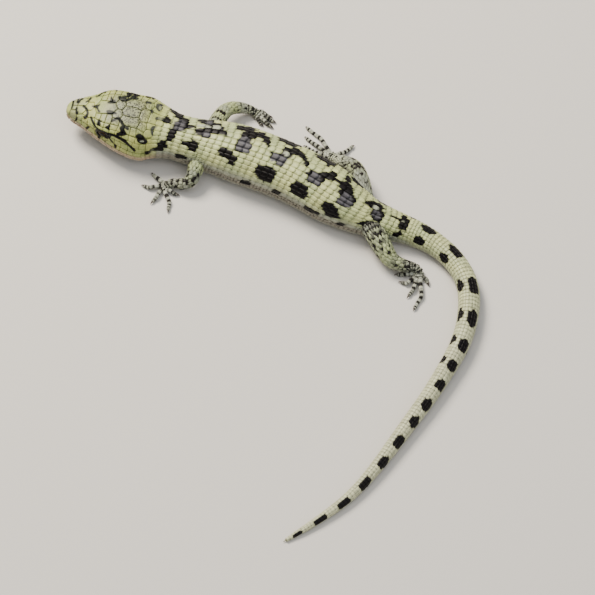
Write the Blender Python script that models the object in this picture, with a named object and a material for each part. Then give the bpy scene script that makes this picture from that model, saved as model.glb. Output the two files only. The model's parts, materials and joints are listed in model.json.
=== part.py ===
"""Mixteca arboreal alligator lizard, life size, at rest on its belly with its tail curved round.

Metres, +Z up. The floor is z = 0. The head points to -X, so the lizard's left side faces -Y.
The body is one smooth hull that runs from the snout to the tip of the tail. Each node is a length of that
hull, with its scales raised in its surface, and each leg grows from it, with a gap of 0.3 mm wherever two
nodes meet. The shields of the head are plates set on the hull and joined to it.
All the tables and places below are in millimetres, on a plan whose own zero is PLAN_MIDDLE away from the
part's.
"""

import math

import bmesh
import bpy
import numpy as np

# Driving dimensions, in millimetres
SNOUT_VENT = 86.0
TAIL = 118.0
GAP = 0.3
MM = 0.001
PLAN_MIDDLE = (-7.08, -5.87)

# The backbone seen from above, from the snout to the tip of the tail
BACKBONE = (
    (-59.3, 52.3), (-46.1, 48.6), (-32.9, 44.8), (-27.4, 43.1), (-21.8, 41.6), (-13.1, 38.5),
    (-1.5, 33.2), (8.2, 27.2), (16.0, 22.1), (24.2, 18.9), (30.7, 16.3), (36.1, 12.5), (40.2, 7.5),
    (42.6, 0.5), (42.1, -7.9), (39.9, -15.2), (36.5, -21.8), (33.0, -27.8), (29.2, -33.6), (24.9, -39.9),
    (21.0, -45.6), (17.0, -51.0), (12.2, -56.4), (6.6, -61.0), (1.8, -64.4), (-3.5, -67.8),
)

# Stations along the backbone, each a distance from the snout and a value there
HALF_WIDTHS = (
    (22, 7.9), (26, 6.8), (30, 5.8), (35, 6.0), (40, 6.8), (48, 7.5), (61, 7.3), (72, 7.3), (79, 6.0),
    (86, 4.4), (92, 3.7), (98, 3.15), (105, 2.8), (112, 2.7), (119, 2.68), (127, 2.55), (135, 2.4),
    (142, 2.22), (149, 2.08), (156, 1.94), (164, 1.8), (171, 1.62), (178, 1.42), (185, 1.22), (192, 1.0),
    (198, 0.75), (202, 0.5), (204, 0.3),
)
TOPS = (
    (22, 11.5), (26, 11.0), (30, 10.7), (35, 10.8), (40, 11.2), (48, 11.8), (61, 11.9), (72, 11.4),
    (79, 10.3), (86, 8.4), (92, 7.0), (98, 6.1), (105, 5.5), (112, 5.25), (119, 5.2), (127, 5.0),
    (142, 4.4), (156, 3.85), (171, 3.2), (185, 2.4), (198, 1.5), (204, 0.65),
)
UNDERSIDES = (
    (22, 1.9), (26, 1.3), (30, 0.8), (35, 0.25), (40, -0.15), (60, -0.2), (100, -0.12), (204, -0.05),
)

# Head stations: distance from the snout, and height or distance out from the middle
CROWN = (
    (0, 7.0), (1.2, 8.2), (4, 9.3), (7, 10.2), (9.5, 11.0), (12, 11.6), (16, 12.0), (20, 12.0),
    (24, 11.6), (28, 11.0),
)
BROW_OUT = (
    (0, 0.5), (1.2, 1.6), (4, 2.8), (7, 4.1), (9.5, 5.5), (11.5, 6.1), (14, 6.3), (17, 6.4), (21, 6.8),
    (25, 6.0), (28, 4.9),
)
BROW_DROP = ((0, 0.3), (4, 0.5), (8, 0.7), (11, 0.9), (15, 1.3), (20, 1.9), (28, 2.4))
LORE_OUT = (
    (0, 0.7), (1.2, 2.0), (4, 3.2), (7, 4.4), (9.5, 5.4), (11.5, 6.0), (14, 6.9), (17, 7.5), (21, 8.0),
    (25, 7.3), (28, 6.1),
)
LORE_UP = ((0, 6.6), (4, 7.9), (8, 8.5), (11, 8.8), (15, 8.6), (20, 7.9), (28, 7.2))
LIP_OUT = (
    (0, 0.8), (1.2, 2.3), (3, 3.2), (5, 3.9), (8, 5.3), (11, 6.5), (14, 7.6), (17, 8.3), (20, 8.6), (23, 8.5),
    (26, 7.3), (28, 6.5),
)
LIP_UP = ((0, 6.5), (3, 7.0), (8, 7.0), (11, 6.8), (14, 6.4), (17, 5.8), (20, 5.4), (24, 5.2), (28, 5.0))
MOUTH_UP = ((0, 6.1), (6, 6.0), (10, 5.6), (14, 5.3), (18, 4.6), (22, 4.3), (28, 4.1))
JAW_OUT = (
    (0, 0.6), (1.2, 2.0), (3, 2.9), (6, 3.9), (9, 5.1), (12, 6.2), (16, 7.3), (20, 7.8), (23, 7.6),
    (26, 6.6), (28, 5.9),
)
JAW_UP = ((0, 5.6), (2, 5.1), (6, 4.7), (12, 3.9), (20, 2.9), (28, 2.2))
CHIN_UP = ((0, 5.3), (1.2, 4.6), (4, 4.1), (10, 3.4), (16, 2.6), (22, 1.9), (28, 1.0))
HEAD_BLEND = (21.0, 27.0)
HEAD_END = 25.8
JAW_END = 22.8

# Nodes of the trunk and tail: name and where each ends
LENGTHS = (
    ("neck", 37.0), ("chest", 54.5), ("belly", 72.0), ("pelvis", 86.5), ("tail_1", 100.0), ("tail_2", 114.0),
    ("tail_3", 130.0), ("tail_4", 150.0), ("tail_5", 175.0),
)
AROUND = 32

# Scales of the trunk and tail: plates in rows across the body, each row rising to its rear edge
TRUNK_ROW = 2.4
TRUNK_COLUMNS = 17
WHORL = 2.8
WHORL_COLUMNS = 8
WHORLS_FROM = 98.0
ROW_STEP = 0.24
COLUMN_GROOVE = 0.16
FOLD_AT = 0.64
FOLD_DEPTH = 0.35

# Shields of the head: four corners, each a distance from the snout and a share of the way from crown to chin
SHIELD_HEIGHT = 0.22
SHIELD_BEVEL = 0.14
SHIELD_ROOT = 0.35
SHIELD_SPAN = 3.2
MIDDLE_SHIELDS = {
    "rostral": ((0.35, -0.52), (0.35, 0.52), (1.45, 0.5), (1.45, -0.5)),
    "frontonasal": ((3.4, -0.09), (3.4, 0.09), (6.2, 0.1), (6.2, -0.1)),
    "frontal": ((6.6, -0.1), (6.6, 0.1), (11.6, 0.065), (11.6, -0.065)),
    "interparietal": ((14.3, -0.045), (14.3, 0.045), (17.9, 0.07), (17.9, -0.07)),
    "interoccipital": ((18.4, -0.07), (18.4, 0.07), (20.7, 0.085), (20.7, -0.085)),
    "nuchal": ((21.1, -0.085), (21.1, 0.085), (23.6, 0.085), (23.6, -0.085)),
}
PAIRED_SHIELDS = {
    "internasal": ((1.75, 0.012), (1.75, 0.24), (3.1, 0.24), (3.1, 0.012)),
    "prefrontal": ((3.4, 0.115), (3.4, 0.24), (6.3, 0.25), (6.3, 0.12)),
    "supraocular_1": ((6.7, 0.12), (6.7, 0.255), (9.1, 0.255), (9.1, 0.1)),
    "supraocular_2": ((9.4, 0.1), (9.4, 0.255), (11.8, 0.255), (11.8, 0.085)),
    "supraocular_3": ((12.1, 0.11), (12.1, 0.255), (14.2, 0.255), (14.2, 0.11)),
    "frontoparietal": ((11.95, 0.01), (11.95, 0.08), (13.95, 0.09), (13.95, 0.01)),
    "parietal": ((14.55, 0.065), (14.55, 0.25), (18.1, 0.25), (18.1, 0.09)),
    "occipital": ((18.5, 0.09), (18.5, 0.242), (20.75, 0.242), (20.75, 0.105)),
    "nuchal": ((21.3, 0.11), (21.3, 0.235), (23.6, 0.235), (23.6, 0.11)),
    "canthal": ((3.5, 0.265), (3.5, 0.36), (7.9, 0.35), (7.9, 0.272)),
    "loreal": ((3.0, 0.385), (3.0, 0.48), (5.6, 0.485), (5.6, 0.38)),
    "subocular": ((5.95, 0.375), (5.95, 0.485), (8.9, 0.485), (8.9, 0.375)),
    "temporal_1": ((15.0, 0.27), (15.0, 0.365), (17.8, 0.365), (17.8, 0.27)),
    "temporal_2": ((18.15, 0.27), (18.15, 0.365), (21.0, 0.365), (21.0, 0.27)),
    "temporal_3": ((15.4, 0.385), (15.4, 0.48), (18.4, 0.48), (18.4, 0.385)),
    "temporal_4": ((18.75, 0.385), (18.75, 0.48), (21.4, 0.48), (21.4, 0.385)),
}
LABIALS = {"head": (1.8, 19.8, 8, 0.5, 0.603), "lower_jaw": (1.8, 19.8, 7, 0.65, 0.745)}
MENTAL = ((0.35, 0.69), (0.35, 1.31), (1.45, 1.31), (1.45, 0.69))

# Eyes
EYE_PLACE = (11.8, 4.55, 8.3)
EYE_RADIUS = 1.9
LID_THICKNESS = 0.45
LID_SINK = 0.06
LID_OPENING = (50.0, 33.0)

# Nostrils and ear openings: place as for the eyes, and the radius and depth of each pit
NOSTRIL = (1.9, 2.5, 7.5)
NOSTRIL_SIZE = (0.42, 0.7)
EAR = (24.2, 7.5, 5.6)
EAR_SIZE = (0.85, 0.9)

# Legs: joints as (x, y, z, half-width, half-height), from inside the trunk to the end of the palm or sole
LEGS = {
    "left_arm": (
        (-23.8, 41.0, 5.2, 2.2, 2.2), (-25.6, 36.3, 4.6, 2.0, 2.0), (-26.9, 32.9, 3.3, 1.7, 1.6),
        (-29.4, 32.1, 2.2, 1.4, 1.35), (-32.0, 32.8, 1.5, 1.1, 0.95), (-33.4, 32.3, 1.0, 1.3, 0.75),
        (-34.6, 31.8, 0.75, 1.35, 0.6),
    ),
    "right_arm": (
        (-21.6, 46.3, 5.5, 2.2, 2.2), (-19.6, 51.0, 5.0, 1.95, 1.95), (-17.2, 53.9, 4.0, 1.7, 1.6),
        (-14.1, 54.9, 2.6, 1.4, 1.3), (-11.7, 54.8, 1.6, 1.1, 0.95), (-10.5, 54.2, 1.0, 1.3, 0.75),
        (-9.5, 53.4, 0.75, 1.3, 0.6),
    ),
    "left_leg": (
        (18.2, 19.2, 4.8, 2.9, 2.7), (20.7, 13.3, 4.6, 2.6, 2.4), (23.4, 9.1, 3.4, 2.0, 1.9),
        (26.7, 7.9, 2.3, 1.6, 1.5), (29.5, 7.6, 1.5, 1.2, 1.05), (30.3, 6.4, 1.0, 1.35, 0.8),
        (30.3, 5.0, 0.75, 1.3, 0.62),
    ),
    "right_leg": (
        (16.3, 24.2, 5.2, 2.9, 2.7), (16.0, 29.8, 5.4, 2.5, 2.3), (14.8, 35.0, 4.8, 1.9, 1.9),
        (12.3, 37.9, 3.3, 1.6, 1.5), (10.1, 39.7, 1.8, 1.2, 1.1), (8.9, 40.9, 1.1, 1.35, 0.85),
        (7.8, 42.0, 0.8, 1.3, 0.65),
    ),
}
# Where each limb is parted, as a share of its joints: the elbow or knee, then the wrist or ankle
LIMB_PARTS = {"arm": ("upper_arm", "forearm", "hand"), "leg": ("thigh", "shin", "foot")}
BEND_AT = 2.0
CUFF_AT = 4.0

# Toes, first to fifth: root, knuckle and tip on the plan, as (x, y)
TOES = {
    "left_arm": (
        ((-33.9, 33.0), (-36.1, 35.0), (-37.4, 36.7)), ((-34.8, 32.4), (-37.6, 31.9), (-39.9, 32.9)),
        ((-34.7, 31.2), (-36.0, 28.9), (-37.4, 27.2)), ((-33.9, 30.9), (-32.6, 27.6), (-32.9, 24.5)),
        ((-33.5, 31.4), (-31.6, 30.3), (-29.9, 29.7)),
    ),
    "right_arm": (
        ((-10.4, 54.9), (-9.1, 55.0), (-7.9, 54.9)), ((-9.7, 54.2), (-8.0, 53.9), (-6.3, 53.4)),
        ((-9.2, 53.6), (-7.3, 52.7), (-5.4, 51.8)), ((-9.3, 53.0), (-7.9, 51.4), (-6.1, 50.1)),
        ((-10.2, 53.1), (-9.8, 51.8), (-8.7, 50.7)),
    ),
    "left_leg": (
        ((29.5, 6.4), (26.9, 6.2), (24.2, 6.4)), ((29.4, 5.2), (27.4, 3.7), (25.2, 4.3)),
        ((29.9, 4.5), (28.9, 1.8), (27.3, -0.4)), ((30.8, 4.5), (30.9, 0.0), (28.8, -4.1)),
        ((31.1, 5.7), (32.4, 4.6), (33.0, 3.0)),
    ),
    "right_leg": (
        ((8.4, 40.6), (6.3, 40.8), (4.3, 41.9)), ((7.7, 41.4), (4.7, 42.5), (1.4, 44.9)),
        ((7.5, 42.2), (4.7, 44.8), (1.7, 47.6)), ((8.2, 42.7), (6.0, 46.7), (2.0, 50.7)),
        ((9.4, 41.5), (12.0, 42.5), (14.7, 45.0)),
    ),
}
TOE_RADIUS = 0.5
KNUCKLE_LIFT = 0.45
CLAW_LENGTH = 1.1

# Colours
PALE_SCALES = (0.62, 0.66, 0.45, 1.0)
GREY_SCALES = (0.48, 0.47, 0.40, 1.0)
DARK_EYE = (0.02, 0.018, 0.015, 1.0)


def eased(stations, at):
    """Values at the given places of a smooth curve through the stations, which overshoots none of them."""
    x, y = np.array(stations, float).T
    step = np.diff(x)
    slope = np.diff(y) / step
    tangent = np.empty(len(x))
    tangent[0], tangent[-1] = slope[0], slope[-1]
    same_way = slope[1:] * slope[:-1] > 0
    total = np.where(same_way, slope[1:] + slope[:-1], 1.0)
    tangent[1:-1] = np.where(same_way, 2 * slope[1:] * slope[:-1] / total, 0.0)
    at = np.clip(np.asarray(at, float), x[0], x[-1])
    i = np.clip(np.searchsorted(x, at, side="right") - 1, 0, len(step) - 1)
    t = (at - x[i]) / step[i]
    rise = t * t * (3 - 2 * t)
    bend = step[i] * t * (1 - t) * ((1 - t) * tangent[i] - t * tangent[i + 1])
    return y[i] + (y[i + 1] - y[i]) * rise + bend


def smoothly_through(points, share):
    """Points of a cubic spline with natural ends, at each share of the way, one unit for each point given."""
    points = np.asarray(points, float)
    count = len(points)
    system = np.diag(np.full(count, 4.0)) + np.diag(np.ones(count - 1), 1) + np.diag(np.ones(count - 1), -1)
    system[0, 0] = system[-1, -1] = 2.0
    ends = np.vstack([points[1] - points[0], points[2:] - points[:-2], points[-1] - points[-2]])
    slope = np.linalg.solve(system, 3 * ends)
    share = np.asarray(share, float)
    i = np.clip(share.astype(int), 0, count - 2)
    t = (share - i)[:, None]
    rise = t * t * (3 - 2 * t) * (points[i + 1] - points[i])
    return points[i] + rise + t * (1 - t) * ((1 - t) * slope[i] - t * slope[i + 1])


def backbone_table():
    """Fine points along the backbone and how far each is from the snout, scaled to the whole length."""
    points = smoothly_through(BACKBONE, np.linspace(0, len(BACKBONE) - 1, 2000))
    far = np.concatenate([[0], np.cumsum(np.linalg.norm(np.diff(points, axis=0), axis=1))])
    return points, far * (SNOUT_VENT + TAIL) / far[-1]


BACKBONE_TABLE = backbone_table()


def backbone(at):
    """Place on the plan and unit direction to the lizard's left, at each distance from the snout."""
    points, far = BACKBONE_TABLE
    reach = 0.6
    place, ahead, behind = (
        np.stack([np.interp(at + step, far, points[:, i]) for i in (0, 1)], -1) for step in (0, reach, -reach)
    )
    heading = ahead - behind
    heading /= np.linalg.norm(heading, axis=1, keepdims=True)
    return place, np.stack([heading[:, 1], -heading[:, 0]], -1)


def head_section(at, around):
    """Half outline of the head, from the crown down the left side to the chin: a curve through nine points."""
    crown = eased(CROWN, at)
    brow_out = eased(BROW_OUT, at)
    brow_up = crown - eased(BROW_DROP, at)
    lip_out = eased(LIP_OUT, at)
    jaw_out = eased(JAW_OUT, at)
    chin = eased(CHIN_UP, at)
    zero = np.zeros_like(crown)
    corners = (
        (zero, crown),
        (0.55 * brow_out, crown - 0.15 * (crown - brow_up)),
        (brow_out, brow_up),
        (eased(LORE_OUT, at), eased(LORE_UP, at)),
        (lip_out, eased(LIP_UP, at)),
        (0.98 * lip_out, eased(MOUTH_UP, at)),
        (jaw_out, eased(JAW_UP, at)),
        (0.55 * jaw_out, chin + 0.2),
        (zero, chin),
    )
    keys = np.array(corners).transpose(2, 0, 1)
    mirrored_start = keys[:, 1:2] * (-1, 1)
    mirrored_end = keys[:, -2:-1] * (-1, 1)
    keys = np.concatenate([mirrored_start, keys, mirrored_end], axis=1)
    share = around * 8
    i = np.clip(share.astype(int), 0, 7)
    t = (share - i)[None, :, None]
    before, start, end, after = keys[:, i], keys[:, i + 1], keys[:, i + 2], keys[:, i + 3]
    return 0.5 * (
        2 * start + (end - before) * t + (2 * before - 5 * start + 4 * end - after) * t * t
        + (3 * start - before - 3 * end + after) * t ** 3
    )


def trunk_section(at, around):
    """Half outline of the neck, trunk or tail: a superellipse, fuller below, rounder towards the tail."""
    half_width = eased(HALF_WIDTHS, at)[:, None]
    top = eased(TOPS, at)[:, None]
    under = eased(UNDERSIDES, at)[:, None]
    square = 1 - np.clip((at - 80) / 25, 0, 1)[:, None]
    angle = np.pi * around[None, :]
    out = half_width * np.abs(np.sin(angle)) ** (1 - 0.14 * square)
    middle = under + (0.5 - 0.05 * square) * (top - under)
    above = (top - middle) * np.abs(np.cos(angle)) ** (1 - 0.08 * square)
    below = (middle - under) * np.abs(np.cos(angle)) ** (1 - 0.3 * square)
    return np.stack([out, np.where(np.cos(angle) > 0, middle + above, middle - below)], -1)


def half_section(at, around):
    """Half outline anywhere: the head's, blended into the trunk's behind the jaws."""
    start, end = HEAD_BLEND
    t = np.clip((at - start) / (end - start), 0, 1)[:, None, None]
    mix = t * t * (3 - 2 * t)
    head = head_section(np.minimum(at, 28.0), around)
    return head * (1 - mix) + trunk_section(np.maximum(at, 22.0), around) * mix


def hull_rings(at, count, swell=0.0):
    """Rings of the hull at each distance from the snout, each point moved outwards by its swell."""
    at = np.asarray(at, float)
    around = around_ring(count)
    side, up = sided(half_section(at, np.abs(around)), around)
    middle = 0.5 * (up.max(axis=1, keepdims=True) + up.min(axis=1, keepdims=True))
    away = np.maximum(np.hypot(side, up - middle), 1e-6)
    side, up = side + swell * side / away, up + swell * (up - middle) / away
    place, leftwards = backbone(at)
    plan = place[:, None, :] + side[..., None] * leftwards[:, None, :]
    return np.concatenate([plan, up[..., None]], -1)


def around_ring(count):
    """Shares of the way round a ring: 0 on the crown, down the left side to 1, back up the right as minus."""
    turn = np.arange(count) / count
    return np.where(turn <= 0.5, turn * 2, turn * 2 - 2)


def sided(section, around):
    """A half outline's distances out, given the side that each share lies on, and its heights."""
    return np.where(around < 0, -1.0, 1.0) * section[..., 0], section[..., 1]


def hull_points(at, around):
    """Points of the hull, one for each distance from the snout and share of the way round."""
    around = np.mod(around + 1, 2) - 1
    each = np.arange(len(at))
    side, up = sided(half_section(at, np.abs(around))[each, each], around)
    place, leftwards = backbone(at)
    return np.column_stack([place + side[:, None] * leftwards, up])


def raised(at, around, height):
    """Points of the hull moved along its normal."""
    along = hull_points(at + 0.05, around) - hull_points(at - 0.05, around)
    over = hull_points(at, around + 0.01) - hull_points(at, around - 0.01)
    normal = np.cross(over, along)
    return hull_points(at, around) + height * normal / np.linalg.norm(normal, axis=1, keepdims=True)


def scaled_rings(start, end):
    """Rings of a length of the body with its scales: each row rises to its rear edge, between grooves.

    The relief goes inwards from the hull, and it fades out under the belly, which stays flat.
    """
    whorled = start >= WHORLS_FROM
    rows = round((end - start) / (WHORL if whorled else TRUNK_ROW))
    count = 2 * (WHORL_COLUMNS if whorled else TRUNK_COLUMNS)
    row, phase = np.divmod(np.arange(2 * rows), 2)
    length = (end - start) / rows
    at = start + length * (row + np.where(phase == 0, 0.1, 0.98))
    at[0], at[-1] = start, end
    around = around_ring(count)
    groove = COLUMN_GROOVE * (np.arange(count) % 2)[None, :]
    step = ROW_STEP * (1 - phase)[:, None]
    fold = FOLD_DEPTH * np.exp(-(((np.abs(around) - FOLD_AT) / 0.04) ** 2))[None, :] * (not whorled)
    shown = np.clip((0.86 - np.abs(around)) / 0.1, 0, 1)[None, :]
    slender = np.clip(eased(HALF_WIDTHS, at) / 3.0, 0.15, 1.0)[:, None]
    return on_floor(hull_rings(at, count, -(groove + step + fold) * shown * slender))


def on_floor(rings):
    """The rings with whatever dips below the floor laid flat on it."""
    rings = rings.copy()
    rings[..., 2] = np.maximum(rings[..., 2], 0.0)
    return rings


def material(name, colour, roughness):
    found = bpy.data.materials.get(name)
    if found:
        return found
    made = bpy.data.materials.new(name)
    made.use_nodes = True
    shader = made.node_tree.nodes["Principled BSDF"]
    shader.inputs["Base Color"].default_value = colour
    shader.inputs["Roughness"].default_value = roughness
    shader.inputs["Metallic"].default_value = 0.0
    return made


def solid(name, points, faces, finish=None):
    """An object from points in plan millimetres, with its faces turned outwards."""
    points = (np.asarray(points, float) - (*PLAN_MIDDLE, 0.0)) * MM
    mesh = bpy.data.meshes.new(name)
    mesh.from_pydata(points.tolist(), [], faces)
    shape = bmesh.new()
    shape.from_mesh(mesh)
    bmesh.ops.recalc_face_normals(shape, faces=shape.faces)
    if shape.calc_volume(signed=True) < 0:
        bmesh.ops.reverse_faces(shape, faces=shape.faces)
    shape.to_mesh(mesh)
    shape.free()
    if finish:
        mesh.materials.append(finish)
    made = bpy.data.objects.new(name, mesh)
    bpy.context.scene.collection.objects.link(made)
    return made


def loft(name, rings, finish=None):
    """A closed solid through rings of points, each end closed by a fan about its middle."""
    rows, count, _ = rings.shape
    points = np.vstack([rings.reshape(-1, 3), rings[0].mean(axis=0), rings[-1].mean(axis=0)])
    faces = []
    for row in range(rows - 1):
        for i in range(count):
            j = (i + 1) % count
            faces.append((row * count + i, row * count + j, (row + 1) * count + j, (row + 1) * count + i))
    first, last = rows * count, rows * count + 1
    for i in range(count):
        j = (i + 1) % count
        faces.append((first, j, i))
        faces.append((last, (rows - 1) * count + i, (rows - 1) * count + j))
    return solid(name, points, faces, finish)


def ball(name, centre, radius, rings=10, around=16):
    """A sphere as rings stacked along X, with small flat poles."""
    polar = np.linspace(0.08, math.pi - 0.08, rings)[:, None]
    turn = np.linspace(0, 2 * math.pi, around, endpoint=False)[None, :]
    across = radius * np.sin(polar)
    points = np.stack(
        np.broadcast_arrays(radius * np.cos(polar), across * np.cos(turn), across * np.sin(turn)), -1
    )
    return loft(name, points + centre)


def tube(name, path, half_widths, half_heights, count, finish=None, heading=None):
    """A limb along a path: elliptical rings square to it, flat ones kept level."""
    path = np.asarray(path, float)
    heading = np.gradient(path, axis=0) if heading is None else heading
    heading /= np.linalg.norm(heading, axis=1, keepdims=True)
    across = np.cross(heading, (0.0, 0.0, 1.0))
    across /= np.linalg.norm(across, axis=1, keepdims=True)
    over = np.cross(across, heading)
    turn = np.linspace(0, 2 * math.pi, count, endpoint=False)
    rings = (
        path[:, None]
        + np.asarray(half_widths)[:, None, None] * np.cos(turn)[None, :, None] * across[:, None]
        + np.asarray(half_heights)[:, None, None] * np.sin(turn)[None, :, None] * over[:, None]
    )
    return loft(name, on_floor(rings), finish)


def settle(target, operation, others):
    """Runs one Boolean with the others, keeps its result as the mesh, and clears the others away."""
    group = bpy.data.collections.new("with_" + target.name)
    for other in others:
        group.objects.link(other)
    boolean = target.modifiers.new("fused", "BOOLEAN")
    boolean.operation = operation
    boolean.operand_type = "COLLECTION"
    boolean.collection = group
    boolean.solver = "EXACT"
    bpy.context.view_layer.update()
    graph = bpy.context.evaluated_depsgraph_get()
    result = bpy.data.meshes.new_from_object(target.evaluated_get(graph))
    target.modifiers.clear()
    target.data = result
    for other in others:
        bpy.data.objects.remove(other)
    bpy.data.collections.remove(group)
    return target


def surfaces(shape):
    """The separate closed surfaces of a bmesh, each a list of its faces."""
    left = set(shape.faces)
    found = []
    while left:
        todo = [left.pop()]
        piece = []
        while todo:
            face = todo.pop()
            piece.append(face)
            for edge in face.edges:
                for near in edge.link_faces:
                    if near in left:
                        left.remove(near)
                        todo.append(near)
        found.append(piece)
    return found


def keep_surface(target, choose):
    """Keeps one closed surface of a mesh, the one for which choose(its points) is greatest."""
    shape = bmesh.new()
    shape.from_mesh(target.data)
    bmesh.ops.remove_doubles(shape, verts=shape.verts, dist=1e-7)
    pieces = surfaces(shape)
    best = max(pieces, key=lambda piece: choose([vert.co for face in piece for vert in face.verts]))
    for piece in pieces:
        if piece is not best:
            bmesh.ops.delete(shape, geom=piece, context="FACES")
    loose = [vert for vert in shape.verts if not vert.link_faces]
    bmesh.ops.delete(shape, geom=loose, context="VERTS")
    shape.to_mesh(target.data)
    shape.free()
    return target


def spread(points):
    """How long the diagonal of the points' box is."""
    low = [min(point[i] for point in points) for i in range(3)]
    high = [max(point[i] for point in points) for i in range(3)]
    return math.dist(low, high)


def fuse(target, others):
    return keep_surface(settle(target, "UNION", others), spread)


def cut(target, others):
    return keep_surface(settle(target, "DIFFERENCE", others), spread)


def rings_between(start, end, spacing):
    """Distances from start to end, evenly set and no further apart than the spacing."""
    return np.linspace(start, end, max(2, math.ceil((end - start) / spacing) + 1))


def on_head(at, out, up):
    """A point from its distance behind the snout, its distance to the left of the middle, and its height."""
    place, leftwards = backbone(np.array([0.5 * HEAD_END]))
    heading = np.array([-leftwards[0, 1], leftwards[0, 0]])
    return np.array([*(place[0] + (at - 0.5 * HEAD_END) * heading + out * leftwards[0]), up])


def mouth_slit():
    """The cutter between the jaws: a thin slab along the line of the mouth, turned down behind its corner."""
    along = np.linspace(-3.0, JAW_END, 14)
    line = [(at, float(eased(MOUTH_UP, at))) for at in along]
    line += [(JAW_END + 0.5, line[-1][1] - 0.9), (JAW_END + 0.7, -2.0)]
    line = np.array(line)
    heading = np.gradient(line, axis=0)
    heading /= np.linalg.norm(heading, axis=1, keepdims=True)
    rings = []
    for (at, up), (ahead, rise) in zip(line, heading):
        below = on_head(at + rise * GAP / 2, 0, up - ahead * GAP / 2)
        above = on_head(at - rise * GAP / 2, 0, up + ahead * GAP / 2)
        wide = on_head(at, 14, 0) - on_head(at, 0, 0)
        rings.append([below - wide, above - wide, above + wide, below + wide])
    return loft("mouth_slit", np.array(rings))


def eye_centre(side):
    at, out, up = EYE_PLACE
    return on_head(at, side * out, up)


def lid_shell(name, side):
    """Upper and lower lid as one thin cup over the eyeball, open in front as a lying oval."""
    centre = eye_centre(side)
    outwards = centre - on_head(EYE_PLACE[0], 0, EYE_PLACE[2] - 0.55)
    outwards /= np.linalg.norm(outwards)
    along = on_head(1, 0, 0) - on_head(0, 0, 0)
    above = np.cross(along, outwards)
    above *= np.sign(above[2])
    turn = np.linspace(0, 2 * math.pi, 18, endpoint=False)
    wide, high = np.radians(LID_OPENING)
    opening = 1 / np.sqrt((np.cos(turn) / wide) ** 2 + (np.sin(turn) / high) ** 2)
    inner = EYE_RADIUS + GAP + LID_SINK
    outer = inner + LID_THICKNESS
    profile = ((inner, 1.0), (inner, 0.5), (inner, 0.0), (outer * 0.985, 0.06), (outer, 0.5), (outer, 1.0))
    rings = []
    for radius, share in profile:
        angle = opening + share * (math.radians(88) - opening)
        ring = np.cos(angle)[:, None] * outwards
        ring += (np.sin(angle) * np.cos(turn))[:, None] * along
        ring += (np.sin(angle) * np.sin(turn))[:, None] * above
        rings.append(centre + radius * ring)
    count = len(turn)
    faces = []
    for row in range(len(rings)):
        following = (row + 1) % len(rings)
        for i in range(count):
            j = (i + 1) % count
            faces.append((row * count + i, row * count + j, following * count + j, following * count + i))
    return solid(name, np.vstack(rings), faces)


def pit(name, place, size, side):
    """A blunt cutter for a nostril or an ear opening, pointing into the head from the side."""
    at, out, up = place
    radius, depth = size
    mouth = on_head(at, side * (out + 0.6), up + 0.2)
    floor = on_head(at + 0.15, side * (out - depth), up - 0.1)
    path = mouth + np.linspace(0, 1, 4)[:, None] * (floor - mouth)
    widths = radius * np.array([1.2, 1.0, 0.8, 0.5])
    return tube(name, path, widths, widths * 0.8, 8)


def shield(name, corners):
    """A plate on the hull between four corners: its top follows the hull, raised, and its base is sunk."""
    corners = np.array(corners)
    places = hull_points(corners[:, 0], corners[:, 1])
    wide = math.dist(places[0], places[1])
    deep = math.dist(places[1], places[2])
    columns = 2 + round(5 * abs(corners[1, 1] - corners[0, 1]))
    rows = 2 + int(deep / SHIELD_SPAN)
    layers = []
    for height, inset in ((SHIELD_HEIGHT, SHIELD_BEVEL), (-SHIELD_ROOT, 0.0)):
        across = np.linspace(inset / wide, 1 - inset / wide, columns)[None, :, None]
        down = np.linspace(inset / deep, 1 - inset / deep, rows)[:, None, None]
        front = corners[0] * (1 - across) + corners[1] * across
        back = corners[3] * (1 - across) + corners[2] * across
        spot = (front * (1 - down) + back * down).reshape(-1, 2)
        layers.append(raised(spot[:, 0], spot[:, 1], height))
    under = rows * columns
    faces = []
    for row in range(rows - 1):
        for column in range(columns - 1):
            quad = [row * columns + column, row * columns + column + 1]
            quad += [quad[1] + columns, quad[0] + columns]
            faces.append(quad)
            faces.append([under + i for i in reversed(quad)])
    edge = list(range(columns))
    edge += [row * columns + columns - 1 for row in range(1, rows)]
    edge += [(rows - 1) * columns + column for column in range(columns - 2, -1, -1)]
    edge += [row * columns for row in range(rows - 2, 0, -1)]
    for i, j in zip(edge, edge[1:] + edge[:1]):
        faces.append([j, i, under + i, under + j])
    return solid(name, np.vstack(layers), faces)


def mirrored(corners):
    return [(at, -around) for at, around in corners]


def labials(node):
    """The row of plates along one lip on both sides, short in front and longer towards the corner."""
    start, end, count, upper, lower = LABIALS[node]
    edges = start + (end - start) * np.linspace(0, 1, count + 1) ** 1.15
    plates = []
    for i in range(count):
        front, back = edges[i] + 0.12, edges[i + 1] - 0.12
        corners = ((front, upper), (front, lower), (back, lower), (back, upper))
        plates.append(shield(f"{node}_labial_{i}_left", corners))
        plates.append(shield(f"{node}_labial_{i}_right", mirrored(corners)))
    return plates


def head_shields():
    plates = [shield(name, corners) for name, corners in MIDDLE_SHIELDS.items()]
    for name, corners in PAIRED_SHIELDS.items():
        plates.append(shield(name + "_left", corners))
        plates.append(shield(name + "_right", mirrored(corners)))
    return plates


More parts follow.
